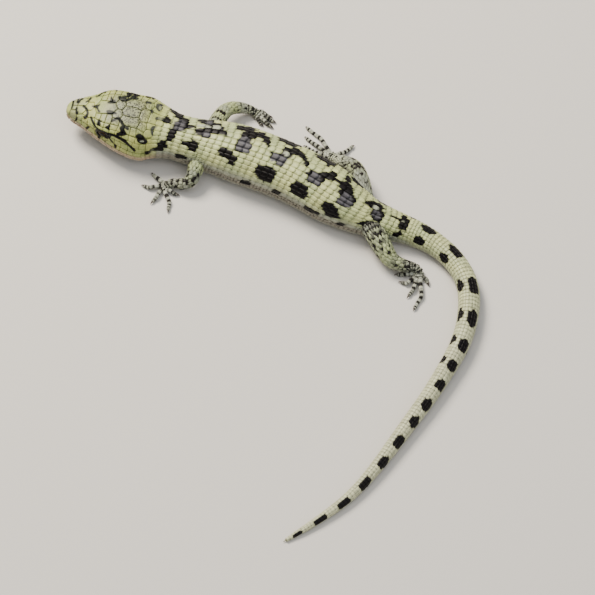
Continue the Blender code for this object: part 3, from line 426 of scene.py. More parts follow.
# Dark markings of the head: outlines, then lines as points with a width in millimetres
HEAD_MARKS = {
    "nasal_left": (
        (3.1, 0.052), (3.6, 0.062), (3.7, 0.146), (4.2, 0.156), (4.1, 0.219), (3.5, 0.229), (3.2, 0.156),
    ),
    "internasal_left": ((6.3, 0.146), (7.1, 0.135), (6.9, 0.219), (6.3, 0.24), (5.7, 0.208), (6.4, 0.177)),
    "prefrontal_right": (
        (5.8, -0.198), (6.4, -0.156), (6.1, -0.104), (5.3, -0.062), (5.0, -0.083), (5.6, -0.125), (5.7, -0.167),
    ),
    "wishbone": (
        (7.0, 0.0), (7.8, -0.012), (8.8, -0.024), (9.2, -0.034), (9.2, -0.01), (8.9, 0.008), (9.4, 0.042),
        (10.1, 0.062), (9.6, 0.073), (9.0, 0.042), (8.4, 0.02), (7.8, 0.018),
    ),
    "triangle": (
        (11.2, -0.138), (11.9, -0.098), (12.9, -0.083), (13.1, -0.062), (12.7, -0.052), (11.7, -0.042),
        (10.8, -0.048), (11.4, -0.073), (11.4, -0.104),
    ),
    "leaf": (
        (11.4, 0.04), (12.1, 0.03), (13.1, 0.032), (13.9, 0.042), (14.6, 0.054), (13.7, 0.064), (12.9, 0.073),
        (12.2, 0.073), (11.8, 0.062),
    ),
    "brow_front": (
        (10.1, 0.146), (10.6, 0.156), (11.4, 0.158), (10.8, 0.17), (11.1, 0.188), (11.3, 0.208), (10.8, 0.219),
        (10.1, 0.208), (10.1, 0.177),
    ),
    "brow_rear": (
        (13.3, 0.172), (13.8, 0.188), (13.6, 0.208), (13.9, 0.24), (13.3, 0.232), (12.3, 0.212), (12.7, 0.205),
        (13.1, 0.19),
    ),
    "brow_rim_right": ((11.0, -0.29), (11.5, -0.28), (12.3, -0.255), (12.1, -0.225), (11.5, -0.25)),
    "brow_front_right": ((8.8, -0.25), (9.4, -0.25), (9.5, -0.208), (9.0, -0.208)),
    "brow_right": (
        (14.6, -0.219), (15.2, -0.25), (15.9, -0.232), (16.8, -0.25), (16.1, -0.2), (16.1, -0.167), (15.3, -0.146),
        (15.2, -0.115), (14.1, -0.115), (13.7, -0.146), (14.4, -0.156), (15.2, -0.17),
    ),
    "temple": (
        (16.5, 0.16), (17.2, 0.174), (17.8, 0.196), (18.5, 0.219), (17.9, 0.24), (17.1, 0.26), (15.9, 0.274),
        (15.7, 0.244), (16.6, 0.222), (16.6, 0.208), (16.2, 0.188),
    ),
    "temple_line": (
        (15.8, 0.268), (16.8, 0.278), (18.5, 0.289), (19.5, 0.32), (20.6, 0.352), (21.4, 0.385), (20.9, 0.41),
        (20.2, 0.379), (19.0, 0.348), (17.7, 0.327), (16.4, 0.316), (13.8, 0.3), (13.8, 0.27),
    ),
    "temple_right": (
        (19.4, -0.24), (20.1, -0.262), (21.8, -0.302), (22.0, -0.281), (21.6, -0.219), (21.0, -0.24),
        (19.8, -0.219),
    ),
    "round_left": (
        (20.7, 0.208), (20.9, 0.188), (21.6, 0.175), (22.5, 0.188), (23.6, 0.227), (23.9, 0.26), (23.3, 0.284),
        (22.4, 0.273), (21.5, 0.252), (21.1, 0.225),
    ),
    "round_right": (
        (23.1, -0.125), (23.0, -0.177), (23.6, -0.229), (24.3, -0.25), (24.8, -0.208), (24.8, -0.135),
        (24.3, -0.09), (23.6, -0.105),
    ),
    "dots_right": ((22.2, -0.066), (22.5, -0.08), (23.1, -0.066), (23.0, -0.038), (22.5, -0.044)),
    "grey_right": ((20.2, -0.138), (20.5, -0.158), (21.9, -0.158), (21.8, -0.13), (20.7, -0.12)),
    "grey_bar": (
        (23.8, 0.104), (24.1, 0.08), (25.4, 0.062), (25.4, 0.09), (24.7, 0.104), (24.8, 0.146), (25.4, 0.177),
        (25.4, 0.2), (24.6, 0.18), (24.0, 0.14),
    ),
    "back_of_head": (
        (24.0, 0.0), (24.2, -0.02), (25.6, -0.036), (26.3, -0.073), (26.6, -0.11), (27.4, -0.073), (28.0, 0.0),
        (27.2, 0.02), (26.5, 0.0), (25.8, 0.0), (25.0, 0.01),
    ),
    "behind_left_ear": (
        (27.2, 0.219), (28.4, 0.235), (28.9, 0.229), (28.9, 0.333), (28.0, 0.4), (26.9, 0.42), (25.7, 0.4),
        (24.4, 0.43), (23.7, 0.44), (23.9, 0.417), (25.2, 0.375), (25.9, 0.33), (26.6, 0.28),
    ),
    "eye_patch": (
        (10.1, 0.25), (12.1, 0.268), (13.8, 0.278), (14.6, 0.298), (14.1, 0.375), (13.2, 0.42), (11.8, 0.43),
        (11.1, 0.44), (10.9, 0.49), (10.5, 0.49), (10.3, 0.41),
    ),
    "lip_4": ((15.3, 0.432), (16.1, 0.427), (16.1, 0.465), (15.6, 0.49)),
    "ear": ((23.5, 0.4), (24.8, 0.39), (25.3, 0.44), (24.4, 0.48), (23.6, 0.46)),
}
HEAD_LINES = {
    "rostral": (((1.2, -0.4), (1.8, -0.1), (2.0, 0.1)), 0.4),
    "nasal_right": (((2.8, -0.26), (2.9, -0.08)), 0.4),
    "internasal": (((4.9, 0.01), (6.1, 0.062), (6.8, 0.125)), 0.5),
    "frontal_side": (
        ((13.8, 0.135), (14.5, 0.113), (15.1, 0.094), (16.3, 0.125), (17.0, 0.156), (18.3, 0.167)), 0.58,
    ),
    "canthus": (((8.0, 0.167), (9.0, 0.208), (10.2, 0.26)), 0.5),
    "eye_rear": (((13.8, 0.375), (15.0, 0.417)), 0.45),
    "lip_1": (((3.8, 0.45), (4.1, 0.3)), 0.4),
    "lip_2": (((6.9, 0.5), (7.8, 0.4)), 0.5),
    "lip_3": (((10.8, 0.53), (10.9, 0.42)), 0.55),
}
# Marks of the head that are grey inside
GREY_MARKS = ("grey_bar", "grey_right", "round_right", "dots_right", "back_of_head")
# Marks that both sides of the head have; the others are on the side where the photo shows them
PAIRED_MARKS = ("eye_patch", "ear", "nasal_left", "temple", "temple_line", "lip_4", "behind_left_ear")
PAIRED_LINES = ("lip_2", "lip_3", "canthus", "frontal_side", "eye_rear")


def half_girths(at):
    """How far it is from the back to the belly round one side, in millimetres, by steps round the outline."""
    section = half_section(at, np.linspace(0, 1, 60))
    return np.linalg.norm(np.diff(section, axis=1), axis=2).sum(axis=1)


GIRTH_PLACES = np.linspace(0.2, WHOLE - 0.2, 300)
HALF_GIRTHS = half_girths(GIRTH_PLACES)


def half_girth(at):
    return np.interp(at, GIRTH_PLACES, HALF_GIRTHS)


def linear(code):
    """A colour for shaders, as linear values, from its sRGB hex code."""
    parts = [int(code[i:i + 2], 16) / 255 for i in (1, 3, 5)]
    return np.array([value / 12.92 if value <= 0.04045 else ((value + 0.055) / 1.055) ** 2.4 for value in parts])


PALE_GREEN = linear("#A8B17C")
PALE_YELLOW = linear("#BEC284")
PALE_GREY = linear("#9A9E88")
TAIL_PALE = linear("#B9BA96")
HEAD_GREY = linear("#7D8162")
HEAD_SHADE = linear("#3E4138")
HEAD_DARK = linear("#23261F")
HEAD_GREEN = linear("#98A25C")
HEAD_YELLOW = linear("#ADB064")
GLOSSY_GREY = linear("#333235")
BLACK = linear("#0B0808")
BELLY_PALE = linear("#A59F8C")
LIP_PINK = linear("#B09A7C")
FOLD_PINK = linear("#83766B")
LIMB_GREY = linear("#8B9080")
HAND_PALE = linear("#ABAD9C")
LIMB_MIDDLE = linear("#5A5B50")
LIMB_DARK = linear("#15110F")


def sheet_of(points, a_range, root):
    """A surface as a grid that closes on itself in its second direction, with normals and a place on the unwrap."""
    along = np.gradient(points, axis=0)
    over = np.roll(points, -1, axis=1) - np.roll(points, 1, axis=1)
    normals = unit(np.cross(over, along))
    outward = np.sum(normals * (points - points.mean(axis=1, keepdims=True))) > 0
    if not outward:
        normals = -normals
    return {"points": points, "normals": normals, "range": a_range, "root": root, "flip": outward}


def at_sheet(sheet, a, b):
    """Points and normals of a sheet at each pair, read between the grid's own. b runs from -1 to 1 round it."""
    grid, normals = sheet["points"], sheet["normals"]
    rows, columns, _ = grid.shape
    first, last = sheet["range"]
    across = np.clip((a - first) / (last - first) * (rows - 1), 0, rows - 1.001)
    round_ = np.mod(b, 2.0) / 2.0 * columns
    i, j = across.astype(int), round_.astype(int) % columns
    s, t = (across - i)[..., None], (round_ - np.floor(round_))[..., None]
    k = (j + 1) % columns
    read = [
        (g[i, j] * (1 - t) + g[i, k] * t) * (1 - s) + (g[i + 1, j] * (1 - t) + g[i + 1, k] * t) * s
        for g in (grid, normals)
    ]
    return read[0], unit(read[1])


def body_sheet(depth=0.0, rows=2600, columns=192):
    """The hull from the snout to the tip of the tail: half outlines set square to the backbone, in metres."""
    ends = (0.02, WHOLE - 0.05)
    at = np.linspace(*ends, rows)
    share = np.arange(columns) / columns * 2
    section = half_section(at, np.where(share <= 1, share, 2 - share))
    side = np.where(share <= 1, 1.0, -1.0)[None, :] * section[..., 0]
    place, left = backbone(at)
    plan = place[:, None] + side[..., None] * left[:, None]
    points = to_part(np.concatenate([plan, section[..., 1:2]], -1))
    sheet = sheet_of(points, ends, (0.02, 0.55))
    sheet["moved"] = slanted
    if depth:
        sheet["points"] = points - depth * MM * sheet["normals"]
    return sheet


def to_part(points):
    """Plan millimetres to the part's metres, with nothing below the floor."""
    placed = (points - (*PLAN_MIDDLE, 0.0)) * MM
    placed[..., 2] = np.maximum(placed[..., 2], 0.0)
    return placed


def limb_sheet(path, widths, heights, root, columns=32, depth=0.0):
    """A sheet of elliptical rings square to a path: b is 0 on top and grows to one side."""
    heading = unit(np.gradient(path, axis=0))
    across = unit(np.cross(heading, (0.0, 0.0, 1.0)))
    over = np.cross(across, heading)
    turn = np.arange(columns) / columns * 2 * math.pi
    wide, high = widths - depth, heights - depth
    rings = (
        path[:, None]
        + (wide[:, None] * np.sin(turn))[..., None] * across[:, None]
        + (high[:, None] * np.cos(turn))[..., None] * over[:, None]
    )
    return sheet_of(to_part(rings), (0.0, 1.0), root)


def leg_run(name, count=90):
    """The spline through a leg's joints: place, half width and half height at even shares of it."""
    joints = np.array(LEGS[name])
    return smoothly_through(joints, np.linspace(0, len(joints) - 1.0, count))


def leg_sheet(name, root, depth=0.0):
    run = leg_run(name)
    closing = np.sqrt(np.clip(1 - ((np.linspace(0, 1, len(run)) - 0.94) / 0.06).clip(0) ** 2, 0.02, 1))
    return limb_sheet(run[:, :3], run[:, 3] * closing, run[:, 4] * closing, root, depth=depth)


def from_legs(points):
    """Distance in millimetres from each place to the nearest root of a leg, less than zero inside it."""
    least = np.full(len(points), 1e9)
    for name in LEGS:
        surface = leg_sheet(name, (0, 0))["points"][:24]
        middle = surface.mean(axis=1)
        radius = np.linalg.norm(surface - middle[:, None], axis=-1).mean(axis=1)
        apart = np.linalg.norm(points[:, None] - middle[None], axis=-1) - radius[None]
        least = np.minimum(least, apart.min(axis=1) / MM)
    return least


def from_body(sheet, points):
    """Height in millimetres of each place over the body, less than zero inside it."""
    surface, normals = (sheet[key][::6, ::6].reshape(-1, 3) for key in ("points", "normals"))
    nearest = np.argmin(np.linalg.norm(points[:, None] - surface[None], axis=-1), axis=1)
    return np.sum((points - surface[nearest]) * normals[nearest], axis=-1) / MM


def toe_path(points):
    """Places and radii down one toe: up to the knuckle, down to the floor, and on to where the claw begins."""
    root, knuckle, tip = np.array(points)
    reach = unit(tip - knuckle)
    claw_root = tip - CLAW_LENGTH * reach
    keys = np.array([
        (*(root - 0.3 * (knuckle - root)), 0.7), (*(0.5 * (root + knuckle)), TOE_RADIUS + KNUCKLE_LIFT),
        (*knuckle, TOE_RADIUS + 0.35), (*(0.5 * (knuckle + claw_root)), TOE_RADIUS),
        (*claw_root, TOE_RADIUS), (*(claw_root + 0.25 * reach), TOE_RADIUS - 0.03),
    ])
    path = smoothly_through(keys, np.linspace(0, 5, 40))
    share = np.linspace(0, 1, 40)
    radius = TOE_RADIUS * (1.05 - 0.28 * share)
    radius *= np.sqrt(np.clip(1 - ((share - 0.93) / 0.07).clip(0) ** 2, 0.02, 1))
    return path, radius, claw_root, tip


def toe_sheet(points, root, depth=0.0):
    path, radius, _, _ = toe_path(points)
    return limb_sheet(path, radius, radius, root, columns=16, depth=depth)


def drift(a, b, scale, seed):
    """A smooth random field from -1 to 1: five waves of random direction, about scale millimetres long."""
    draw = np.random.default_rng(seed)
    total = np.zeros(np.broadcast(a, b).shape)
    for _ in range(5):
        angle, phase, stretch = draw.uniform(0, 2 * math.pi, 2).tolist() + [draw.uniform(0.7, 1.5)]
        wave = 2 * math.pi / (scale * stretch)
        total = total + np.sin(wave * (math.cos(angle) * a + math.sin(angle) * b) + phase)
    return total / 3.2


def inside(outline, a, b):
    """Which places lie inside an outline: an odd number of its edges crosses the line out from the place."""
    crossed = np.zeros(np.broadcast(a, b).shape, bool)
    for (a0, b0), (a1, b1) in zip(outline, outline[1:] + outline[:1]):
        spans = (b0 > b) != (b1 > b)
        height = b1 - b0 if b1 != b0 else 1e-9
        crossed ^= spans & (a < a0 + (b - b0) * (a1 - a0) / height)
    return crossed


def beside(line, a, b, girth):
    """Distance in millimetres from each place to a line of points on the body."""
    least = np.full(np.broadcast(a, b).shape, 1e9)
    for (a0, b0), (a1, b1) in zip(line, line[1:]):
        da, db = a1 - a0, (b1 - b0) * girth
        t = np.clip(((a - a0) * da + (b - b0) * girth * db) / (da * da + db * db), 0, 1)
        least = np.minimum(least, np.hypot(a - a0 - t * da, (b - b0) * girth - t * db))
    return least


def within(spot, a, b):
    a0, b0, half_a, half_b = spot
    return ((a - a0) / half_a) ** 2 + ((b - b0) / half_b) ** 2 < 1


def paint(colours, where, colour):
    colours[where] = colour
    return colours


def with_flecks(colours, amount):
    """Colours with a fourth value: how strongly fine dark flecks show there."""
    flecks = np.broadcast_to(np.asarray(amount, float)[..., None], colours.shape[:-1] + (1,))
    return np.concatenate([colours, flecks], -1)


def turned(b):
    """The same place round the body or a limb, as a share from -1 to 1."""
    return np.mod(b + 1, 2) - 1


def blend(colours, other, share):
    share = np.clip(share, 0, 1)[..., None]
    return colours * (1 - share) + other * share


def body_tint(a, b):
    """Markings of the trunk and tail: pale green, with black saddles and spots, and a grey and pink lower flank."""
    b = turned(b)
    colours = blend(PALE_GREEN, PALE_YELLOW, 0.45 + 0.6 * drift(a, 20 * b, 8.0, 3))
    colours = blend(colours, PALE_GREY, (np.abs(b) - 0.34) / 0.1 * np.clip((100 - a) / 8, 0.3, 1))
    colours = blend(colours, TAIL_PALE, 0.9 * (a - 92) / 40)
    fold = 0.7 * np.exp(-(((np.abs(b) - 0.52) / 0.06) ** 2)) * np.clip((90 - a) / 6, 0, 1)
    colours = blend(colours, FOLD_PINK, fold)
    colours = blend(colours, BELLY_PALE, (np.abs(b) - 0.6) / 0.08)
    for name, outline in BLACK_MARKS.items():
        paint(colours, inside(outline, a, b), BLACK)
        if name.startswith(("flank", "low", "behind")):
            paint(colours, inside(outline, a - 1.4, -b), BLACK)
    for spot in GREY_HEARTS.values():
        paint(colours, within(spot, a, b), GLOSSY_GREY)
    for spot in PALE_FLECKS.values():
        paint(colours, within(spot, a, b), PALE_GREY)
    for at, half in TAIL_BLOTCHES:
        turn = -0.14 - 0.1 * min(max((at - 100) / 60, 0), 1)
        wide = 0.15 + 0.14 * min(max((at - 100) / 70, 0), 1)
        paint(colours, (np.abs((a - at) / half) ** 2 + np.abs((b - turn) / wide) ** 2) < 1, BLACK)
        if at < 142:
            left = within((at - 0.7, 0.28, 0.8 * half, 0.13), a, b)
            right = within((at + 0.5, -0.66, 0.8 * half, 0.13), a, b)
            paint(colours, left | right, BLACK)
    return with_flecks(colours, 0.12)


def head_tint(a, b):
    """Markings of the head: green and yellow, grey on the snout and crown, with black marks and flecks."""
    b = turned(b)
    across = half_girth(a)
    colours = blend(HEAD_GREEN, HEAD_YELLOW, 0.5 + 0.6 * drift(a, 20 * b, 5.0, 5))
    grey = np.exp(-(((a - 16.5) / 6.2) ** 4) - ((b / 0.18) ** 4))
    snout = 0.7 * np.clip((6.0 - a) / 3.0, 0, 1) * ramp(a, 1.4, 0.5)
    colours = blend(colours, HEAD_GREY, np.maximum(grey, snout))
    colours = blend(colours, LIP_PINK, (np.abs(b) - 0.47) / 0.06)
    colours = blend(colours, BELLY_PALE, (np.abs(b) - 0.66) / 0.1)
    # Painted shade: a dark line along the crease of the closed mouth, fading out towards the corner of the jaws.
    mouth = 0.8 * np.exp(-(((np.abs(b) - 0.622) / 0.009) ** 2)) * np.clip((24 - a) / 2, 0, 1)
    colours = blend(colours, BLACK, mouth)
    mark = blend(BLACK, HEAD_DARK, (0.21 - np.broadcast_to(np.abs(b), colours.shape[:-1])) / 0.04)
    for name, outline in HEAD_MARKS.items():
        where = inside(outline, a, b)
        if name in PAIRED_MARKS:
            where |= inside(outline, a, -b)
        colours[where] = HEAD_SHADE if name in GREY_MARKS else mark[where]
    for name, (line, width) in HEAD_LINES.items():
        where = beside(line, a, b, across) < 0.5 * width
        if name in PAIRED_LINES:
            where |= beside(line, a + 0.4, -b, across) < 0.5 * width
        colours[where] = mark[where]
    paint(colours, within((24.2, -0.15, 0.45, 0.035), a, b), HEAD_GREY)
    # Painted highlight: a thin pale line across the round mark on the left of the crown.
    paint(colours, within((22.5, 0.245, 0.6, 0.012), a, b), PALE_GREY)
    speckled = np.exp(-(((a - 17.8) / 5.4) ** 4) - ((b / 0.18) ** 4))
    return with_flecks(colours, np.maximum(speckled, 0.15))


def whole_tint(a, b):
    """The head's markings, which pass into the body's behind it."""
    share = ramp(a, 24.8, 1.8)[..., None]
    if share.min() == 1:
        return body_tint(a, b)
    return head_tint(a, b) * (1 - share) + body_tint(a, b) * share


# For each leg: how pale its blotches leave it, their size in millimetres, how strongly bars cross its lower half,
# how much middle grey is mixed in, and how far down it a bright patch lies
LEG_PATTERN = {
    "left_arm": (0.35, 1.2, 1.0, 0.5, 0.15), "right_arm": (0.4, 1.3, 0.1, 0.15, 0.3),
    "left_leg": (0.3, 1.1, 0.5, 1.0, 0.3), "right_leg": (0.4, 1.4, 0.4, 0.45, 0.68),
}


def limb_tint(name):
    """Markings of a leg: pale grey with black blotches, drawn from a smooth random field."""
    seed = 20 + 7 * list(LEGS).index(name)

    def tint(a, b):
        round_ = 3.2 * np.cos(math.pi * b)
        paleness, size, bars, middle, patch = LEG_PATTERN[name]
        field = drift(30 * a, round_, size, seed) + 0.5 * drift(30 * a, round_, 0.5 * size, seed + 1)
        bright = np.exp(-(((a - patch) / 0.12) ** 2))
        hand = ramp(a, 0.84, 0.06)
        lower = ramp(a, 0.4, 0.1) * (1 - hand)
        field = field + bars * lower * np.sin(2 * math.pi * 9 * a + round_)
        field = field - 0.35 * bright - 0.5 * hand
        colours = blend(LIMB_GREY, PALE_GREEN, 0.35 + 0.6 * drift(30 * a, round_, 6.0, seed + 2) + 0.5 * bright)
        colours = blend(colours, HAND_PALE, 0.7 * ramp(a, 0.35, 0.2))
        mixed = middle * (0.5 + 1.2 * drift(30 * a, round_, 1.1, seed + 3)) - bright - hand
        colours = blend(colours, LIMB_MIDDLE, mixed)
        colours = blend(colours, HAND_PALE, 0.8 * hand)
        under = np.clip((np.abs(turned(b)) - 0.62) / 0.15, 0, 1)
        colours = blend(colours, BELLY_PALE, under)
        return with_flecks(paint(colours, (field > paleness) & (under < 0.5), LIMB_DARK), 0.35)
    return tint


def toe_tint(seed):
    """Pale and black bands across a toe."""
    def tint(a, b):
        bands = np.sin(2 * math.pi * (6.2 * a + 0.17 * seed)) + 0.3 * drift(6 * a, b, 1.5, seed)
        return with_flecks(blend(LIMB_DARK, HAND_PALE, bands * 2 + 0.9), 0.2)
    return tint


def skirted(top, rim, lowered):
    """A plate's top with the faces from its rim down to its floor, whose first point has the number lowered."""
    count = len(rim)
    sides = [(rim[i], rim[(i + 1) % count], lowered + (i + 1) % count, lowered + i) for i in range(count)]
    faces = top + sides + [tuple(range(lowered, lowered + count))]
    return np.concatenate([np.array(face) for face in faces]), np.array([len(face) for face in faces])


def plate_template(count):
    """One scale as a grid with a skirt and a floor: round at its rear edge, +1, and nearly straight in front."""
    line = np.linspace(-1, 1, count)
    x, y = (grid.ravel() for grid in np.meshgrid(line, line, indexing="ij"))
    px = x * (1 - np.where(x > 0, 0.3, 0.0) * np.abs(y) ** 2.6)
    py = y * (1 - np.where(x > 0, 0.14, 0.0) * x ** 4)
    rim = list(range(count)) + [count * i + count - 1 for i in range(1, count)]
    rim += [count * (count - 1) + i for i in range(count - 2, -1, -1)]
    rim += [count * i for i in range(count - 2, 0, -1)]
    top = [
        (i * count + j, (i + 1) * count + j, (i + 1) * count + j + 1, i * count + j + 1)
        for i in range(count - 1) for j in range(count - 1)
    ]
    corners, sizes = skirted(top, rim, count * count)
    return x, y, px, py, np.array(rim), corners, sizes


def slanted(a, b):
    """Places moved back towards the middle of the back, so that rows of scales run obliquely up the flanks."""
    off = ramp(np.abs(turned(b)), 0, 0.55)
    return a + ROW_SLANT * ramp(a, 25.2, 9) * np.clip((98 - a) / 12, 0, 1) * (1 - off ** 1.5)


def unwrap_place(sheet, a, b):
    """Where a place on the skin lies on its unwrap, at one size for the whole animal."""
    u0, v0 = sheet["root"]
    first, last = sheet["range"]
    reach, girth = sheet.get("reach", last - first), sheet.get("girth", 20.0)
    along = u0 + (a - first) / (last - first) * UNWRAP_SCALE * reach
    return np.stack([along, v0 + UNWRAP_SCALE * girth * turned(b)], -1)


def plates(sheet, a, b, half_a, half_b, tint, lift, dome, keel, sink=0.14, count=5, patch=0.0015, draw=None,
           pull=0.5):
    """Scales on a sheet: each is a small grid that follows the surface between its edges.

    Its height above the surface rises to the rear edge by lift, swells by dome in the middle and by keel along its
    middle line, and drops away at the rim. Its colours are those of the places round its middle, drawn in by pull,
    so that the edge of a marking follows the scales. Painted shade darkens its front, where the row ahead overlaps
    it, its rear tip and sides, and its skirt; a glossy grey scale also gets a painted highlight.
    """
    x, y, px, py, rim, corners, sizes = plate_template(count)
    a, b, half_a, half_b = (np.asarray(v, float).reshape(-1, 1) for v in np.broadcast_arrays(a, b, half_a, half_b))
    lift, dome, keel, sink = (np.asarray(v, float).reshape(-1, 1) for v in (lift, dome, keel, sink))
    moved = sheet.get("moved", lambda along, around: along)
    at_b = b + half_b * py
    at_a, middle = moved(a + half_a * px, at_b), moved(a, b)
    points, normals = at_sheet(sheet, at_a, at_b)
    height = lift * (0.45 + 0.55 * x) + dome * (1 - x ** 2) * (1 - y ** 4) + keel * np.exp(-(y / 0.25) ** 2)
    height = height - 0.03 * np.clip(x, 0, 1) ** 8 - 0.018 * y ** 8
    top = points + (height * MM)[..., None] * normals
    skirt = points[:, rim] - (sink * MM)[..., None] * normals[:, rim]
    every = np.concatenate([top, skirt], axis=1)
    every[..., 2] = np.maximum(every[..., 2], FLOOR_GAP)
    drawn = tint(middle + pull * (at_a - middle), b + pull * (at_b - b))
    glossy = np.all(np.abs(drawn[..., :3] - GLOSSY_GREY) < 1e-6, axis=-1)
    # Painted highlight: a bright streak across the upper part of each glossy grey scale.
    painted_highlight = 1 + glossy * 2.8 * np.exp(-((y + 0.35) / 0.3) ** 2) * (x > -0.6)
    tone = 1 if draw is None else 1 + 0.07 * np.clip(draw.normal(0, 1, (len(a), 1)), -2, 2)
    # Painted shade: darker at the front, where the row ahead overlaps the scale, towards its rear tip and sides,
    # and darker still on the skirt down into the gaps.
    edges = 1 - 0.42 * np.clip((-0.2 - x) / 0.8, 0, 1) - 0.06 * y ** 8 - 0.1 * np.clip(x, 0, 1) ** 8
    shade = np.tile(np.concatenate([edges, np.full(len(rim), 0.45)]), (len(a), 1)) * tone
    shade[:, :len(x)] *= painted_highlight
    colours = np.concatenate([drawn, drawn[:, rim]], axis=1)
    colours[..., :3] *= shade[..., None]
    offsets = np.concatenate([np.stack([px, py], -1), np.stack([px[rim], py[rim]], -1) * 1.06])
    unwrap = unwrap_place(sheet, middle, b) + offsets[None] * patch
    return every, colours, unwrap, corners, sizes, sheet["flip"]


def joined(name, batches, material):
    """One mesh from batches of scales, with their colours and the map named OFBake."""
    points, colours, unwrap, corners, sizes = [], [], [], [], []
    base = 0
    for every, tints, places, face, size, flip in batches:
        amount, per, _ = every.shape
        if flip:
            starts = np.cumsum(size) - size
            face = np.concatenate([face[i:i + n][::-1] for i, n in zip(starts, size)])
        corners.append((base + per * np.arange(amount)[:, None] + face[None]).ravel())
        sizes.append(np.tile(size, amount))
        points.append(every.reshape(-1, 3))
        colours.append(tints.reshape(-1, 4))
        unwrap.append(places.reshape(-1, 2))
        base += amount * per
    return mesh_object(name, np.concatenate(points), np.concatenate(corners), np.concatenate(sizes), material,
                       np.concatenate(colours), np.concatenate(unwrap))


def mesh_object(name, points, corners, sizes, material, colours=None, unwrap=None):
    """An object from arrays of points, face corners and face sizes."""
    mesh = bpy.data.meshes.new(name)
    mesh.vertices.add(len(points))
    mesh.vertices.foreach_set("co", np.asarray(points, np.float32).ravel())
    mesh.loops.add(len(corners))
    mesh.loops.foreach_set("vertex_index", np.asarray(corners, np.int32))
    mesh.polygons.add(len(sizes))
    mesh.polygons.foreach_set("loop_start", np.concatenate([[0], np.cumsum(sizes)[:-1]]).astype(np.int32))
    mesh.update(calc_edges=True)
    mesh.validate()
    if colours is not None:
        tint = mesh.color_attributes.new("tint", "FLOAT_COLOR", "POINT")
        tint.data.foreach_set("color", np.asarray(colours).astype(np.float32).ravel())
    if unwrap is not None:
        layer = mesh.uv_layers.new(name="OFBake")
        index = np.empty(len(mesh.loops), np.int32)
        mesh.loops.foreach_get("vertex_index", index)
        layer.uv.foreach_set("vector", np.asarray(unwrap, np.float32)[index].ravel())
    mesh.shade_smooth()
    mesh.materials.append(material)
    made = bpy.data.objects.new(name, mesh)
    bpy.context.scene.collection.objects.link(made)
    return made


def grid_mesh(name, grid, material, colours=None):
    """A closed surface from a grid that meets itself round its second direction, each end closed by one face."""
    rows, columns, _ = grid.shape
    i, j = np.meshgrid(np.arange(rows - 1), np.arange(columns), indexing="ij")
    k = (j + 1) % columns
    quads = np.stack([i * columns + j, (i + 1) * columns + j, (i + 1) * columns + k, i * columns + k], -1)
    ends = np.concatenate([np.arange(columns), (rows - 1) * columns + np.arange(columns)[::-1]])
    corners = np.concatenate([quads.reshape(-1), ends])
    sizes = np.concatenate([np.full((rows - 1) * columns, 4), [columns, columns]])
    made = mesh_object(name, grid.reshape(-1, 3), corners, sizes, material,
                       None if colours is None else colours.reshape(-1, 4))
    shape = bmesh.new()
    shape.from_mesh(made.data)
    bmesh.ops.recalc_face_normals(shape, faces=shape.faces)
    shape.to_mesh(made.data)
    shape.free()
    return made


def join_objects(made, name):
    """Joins objects into the first of them, with nothing else selected."""
    for other in bpy.context.view_layer.objects:
        other.select_set(other in made)
    bpy.context.view_layer.objects.active = made[0]
    bpy.ops.object.join()
    made[0].name = name
    return made[0]


def made_real(made):
    """Puts an object's evaluated mesh in place of its own, and takes its modifiers off."""
    bpy.context.view_layer.update()
    graph = bpy.context.evaluated_depsgraph_get()
    made.data = bpy.data.meshes.new_from_object(made.evaluated_get(graph))
    made.modifiers.clear()


def node(tree, kind, settings=None, links=None):
    """Adds one shader node with its settings and its links from other nodes' outputs, and gives its outputs."""
    made = tree.nodes.new("ShaderNode" + kind)
    for key, value in (settings or {}).items():
        if isinstance(key, str) and hasattr(made, key):
            setattr(made, key, value)
        else:
            made.inputs[key].default_value = value
    for key, source in (links or {}).items():
        tree.links.new(source, made.inputs[key])
    return made.outputs


def new_material(name):
    """A material without nodes, and a function that adds them."""
    made = bpy.data.materials.new(name)
    made.use_nodes = True
    made.node_tree.nodes.clear()
    return made, functools.partial(node, made.node_tree)


def remap(add, source, seen, given):
    """A value that passes from the first to the second of given as the source passes over the range seen."""
    settings = {"From Min": seen[0], "From Max": seen[1], "To Min": given[0], "To Max": given[1]}
    return add("MapRange", settings, {"Value": source})["Result"]


def product(add, first, second):
    return add("Math", {"operation": "MULTIPLY"}, {0: first, 1: second})["Value"]


def scaled(add, colour, strength):
    return add("VectorMath", {"operation": "SCALE"}, {0: colour, "Scale": strength})["Vector"]


def shaded(add, settings, links):
    """The nodes that end every material."""
    shader = add("BsdfPrincipled", settings, links)
    add("OutputMaterial", None, {"Surface": shader["BSDF"]})


